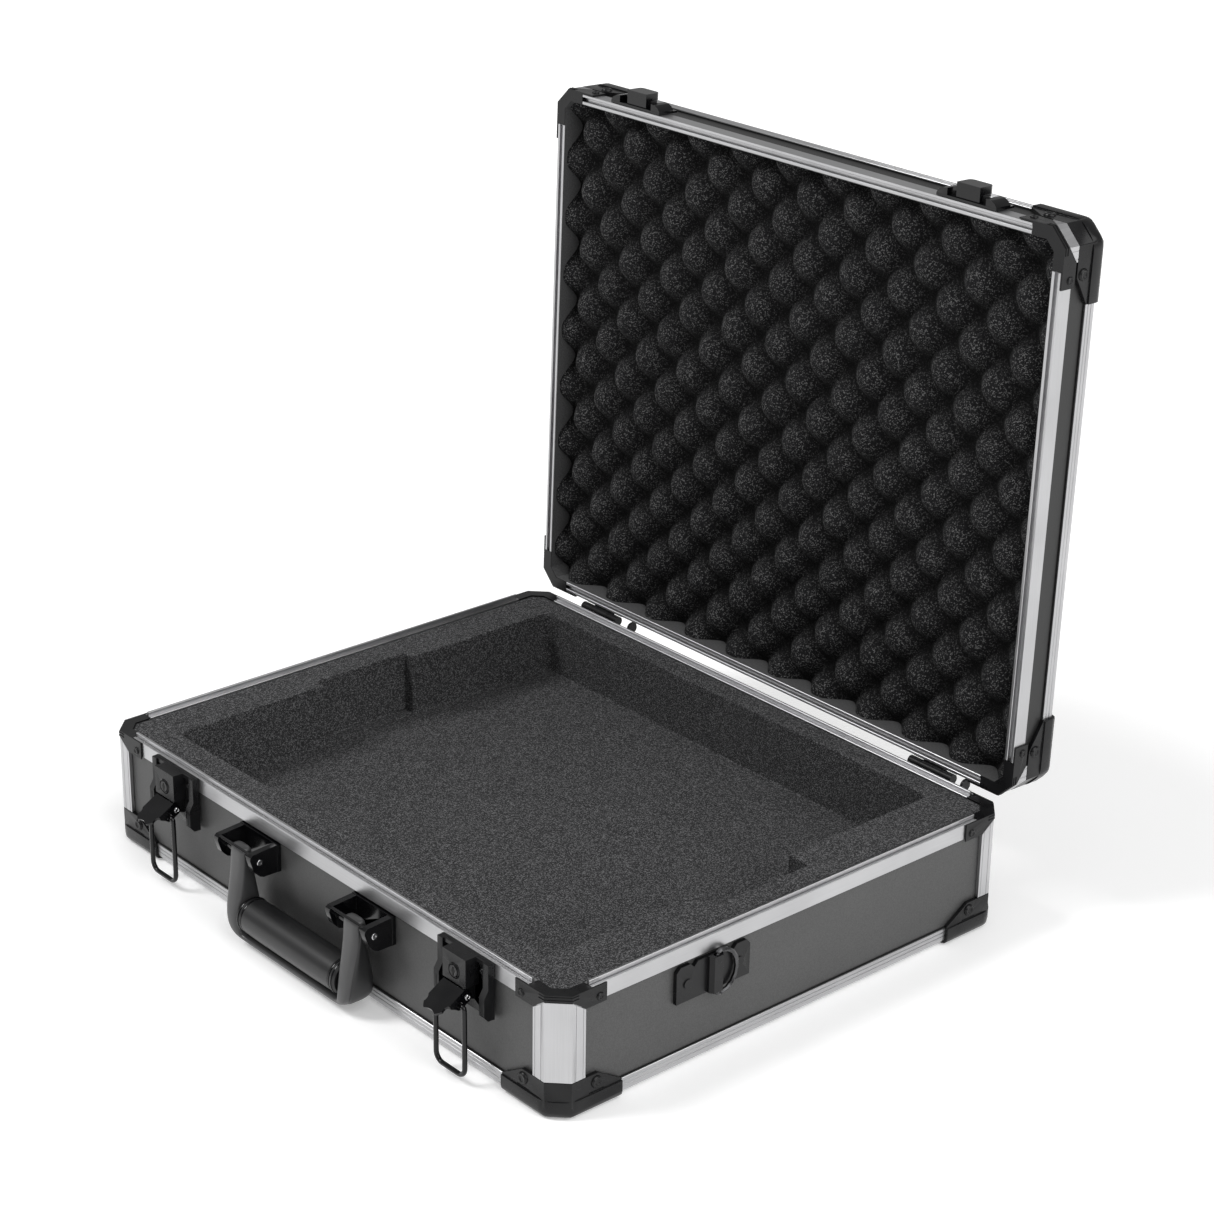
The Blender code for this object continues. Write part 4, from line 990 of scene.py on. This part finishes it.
def handle_leaf(sign):
    """The smooth inlay on an arm's outer face, pointed at the pivot."""
    stations = handle_stations()[2:10]
    swell = (0.05, 0.42, 0.62, 0.74, 0.80, 0.80, 0.74, 0.5)
    bm = bmesh.new()
    rows = []
    for (outer, inner, half), width in zip(stations, swell):
        out = (Vector(outer) - Vector(inner)).normalized()
        row = []
        for step in range(INLAY_STEPS + 1):
            across = 2 * step / INLAY_STEPS - 1
            lift = 0.35 * MM - 0.9 * MM * abs(across) ** 6
            place = Vector(outer) + out * lift
            row.append(bm.verts.new((sign * place.x, half * width * across, place.y)))
        rows.append(row)
    for here, beyond in zip(rows, rows[1:]):
        for index in range(INLAY_STEPS):
            bm.faces.new((here[index], here[index + 1], beyond[index + 1], beyond[index]))
    return to_mesh(bm, "leaf")


def grip_sleeve():
    """Soft round sleeve, crowned in the middle and grooved near its ends."""
    half = GRIP_HALF
    radius = GRIP_RADIUS
    profile = [(half, radius - 5 * MM), (half, radius - 1.6 * MM), (half - 1.2 * MM, radius - 0.4 * MM)]
    profile += [(half - 4 * MM, radius - 0.4 * MM), (half - 4.4 * MM, radius - 1.2 * MM)]
    profile += [(half - 5.6 * MM, radius - 1.2 * MM), (half - 6 * MM, radius - 0.3 * MM), (half / 2, radius)]
    outline = profile + [(-x, r) for x, r in reversed(profile)]
    return lathe([(r, x) for x, r in outline], 64)


def build_handle():
    hinge = BASE_PLACE @ Matrix.Translation((0, HANDLE_PIN[0] - DEPTH / 2, HANDLE_PIN[1]))
    for side, sign in SIDES.items():
        refined(f"handle_bracket_{side}", "gloss_black", 1.0 * MM, segments=3)
        middle = Matrix.Translation((sign * BRACKET_X, 0, 0))
        face = BASE_PLACE @ Matrix.Translation((sign * BRACKET_X, -DEPTH / 2, 0))
        lip = placed(box(*[[limit * MM for limit in limits] for limits in BRACKET_LIP]), face)
        piece(f"handle_bracket_lip_{side}", lip, "gloss_black", "base", bevel=0.6 * MM, segments=3)
        ends = []
        for end in (-1, 1):
            turn = pin_end(end, BRACKET_PIN_END)
            ends.append(placed(rivet(1.9 * MM, 0.4 * MM), hinge @ middle @ turn))
        piece(f"handle_pin_ends_{side}", joined(ends), "bright_steel", "base")
        leaf = piece(f"handle_inlay_{side}", placed(handle_leaf(sign), hinge), "handle_grip", "handle")
        thick = leaf.modifiers.new("thick", "SOLIDIFY")
        thick.thickness = 0.8 * MM
        thick.offset = -1
        smooth = leaf.modifiers.new("smooth", "SUBSURF")
        smooth.levels = smooth.render_levels = 2
    shape = placed(handle_loop(), hinge)
    loop = piece("handle_loop", shape, "handle_plastic", "handle", ("handle",), angle=70)
    smooth = loop.modifiers.new("smooth", "SUBSURF")
    smooth.levels = smooth.render_levels = 1
    drop = Matrix.Translation((0, 0, -GRIP_DROP)) @ turn_to("X")
    piece("handle_sleeve", placed(grip_sleeve(), hinge @ drop), "handle_grip", "handle")
    rings = []
    for end in (-1, 1):
        for along, radius in GRIP_RINGS:
            profile = [(10.6 * MM, -0.7 * MM), (radius * MM, -0.5 * MM), ((radius + 0.15) * MM, 0)]
            profile += [(radius * MM, 0.5 * MM), (10.6 * MM, 0.7 * MM)]
            turn = Matrix.Translation((end * along * MM, 0, -GRIP_DROP)) @ turn_to("X")
            rings.append(placed(lathe(profile, 40), hinge @ turn))
    piece("handle_grip_rings", joined(rings), "gloss_black", "handle")


def build_rings():
    for side in SIDES:
        refined(f"dring_plate_{side}", "black_steel", 0.35 * MM)
        refined(f"dring_{side}", "dark_steel", 0)


def build_hinges():
    for side in SIDES:
        refined(f"hinge_base_leaf_{side}", "black_steel", 0.25 * MM)
        refined(f"hinge_lid_leaf_{side}", "black_steel", 0.25 * MM)


def build_bails():
    """The wire loops, with round corners at the foot that still clear the catch."""
    for side in SIDES:
        pivot = Vector(JOINTS[f"bail_{side}_pivot"]["pos_m"])
        bend = BAIL_BEND
        low = -BAIL_LENGTH
        right = [(7.9 * MM, 0), (BAIL_HALF - 2.4 * MM, 0), (BAIL_HALF - 0.5 * MM, -0.5 * MM)]
        right += [(BAIL_HALF, -2.6 * MM), (BAIL_HALF, -20 * MM)]
        for step in range(BAIL_STEPS + 1):
            angle = -math.pi / 2 * step / BAIL_STEPS
            right.append((BAIL_HALF - bend + bend * math.cos(angle), low + bend + bend * math.sin(angle)))
        route = right + [(-x, z) for x, z in reversed(right)]
        mesh = tube([(x, 0, z) for x, z in route], BAIL_WIRE)
        wire = placed(mesh, Matrix.Translation(pivot))
        piece(f"latch_wire_{side}", wire, "gloss_black", f"bail_{side}", (f"latch_bail_{side}",), angle=60)


# ---------------------------------------------------------------- studio

def build_studio():
    bm = bmesh.new()
    bmesh.ops.create_grid(bm, x_segments=4, y_segments=4, size=FLOOR_HALF)
    mesh = to_mesh(bm, "floor")
    mesh.materials.append(MATERIALS["floor_white"])
    floor = bpy.data.objects.new("floor", mesh)
    floor.location.z = -0.0005
    bpy.context.scene.collection.objects.link(floor)

    world = bpy.data.worlds.new("studio")
    world.use_nodes = True
    world.node_tree.nodes["Background"].inputs["Color"].default_value = (1.0, 1.0, 1.0, 1.0)
    world.node_tree.nodes["Background"].inputs["Strength"].default_value = WORLD_STRENGTH
    bpy.context.scene.world = world

    for name, (source, strength, angle) in LAMPS.items():
        lamp = bpy.data.lights.new(name, "SUN")
        lamp.angle = angle
        lamp.energy = strength
        item = bpy.data.objects.new(name, lamp)
        item.rotation_mode = "QUATERNION"
        item.rotation_quaternion = (-Vector(source)).to_track_quat("-Z", "Y")
        bpy.context.scene.collection.objects.link(item)


def build_camera():
    data = bpy.data.cameras.new("camera")
    data.sensor_width = 36.0
    data.lens = CAMERA_LENS
    camera = bpy.data.objects.new("camera", data)
    tilt = Euler((math.pi / 2 - CAMERA_ELEVATION, 0, CAMERA_AZIMUTH)).to_matrix().to_4x4()
    roll = Matrix.Rotation(CAMERA_ROLL, 4, "Z")
    camera.matrix_world = Matrix.Translation(CAMERA_PLACE) @ tilt @ roll
    bpy.context.scene.collection.objects.link(camera)
    bpy.context.scene.camera = camera
    bpy.context.scene.view_settings.view_transform = "Standard"


build_extrusions()
build_panels()
build_corners()
build_foam()
build_latches()
build_handle()
build_rings()
build_hinges()
build_bails()
build_studio()
build_camera()
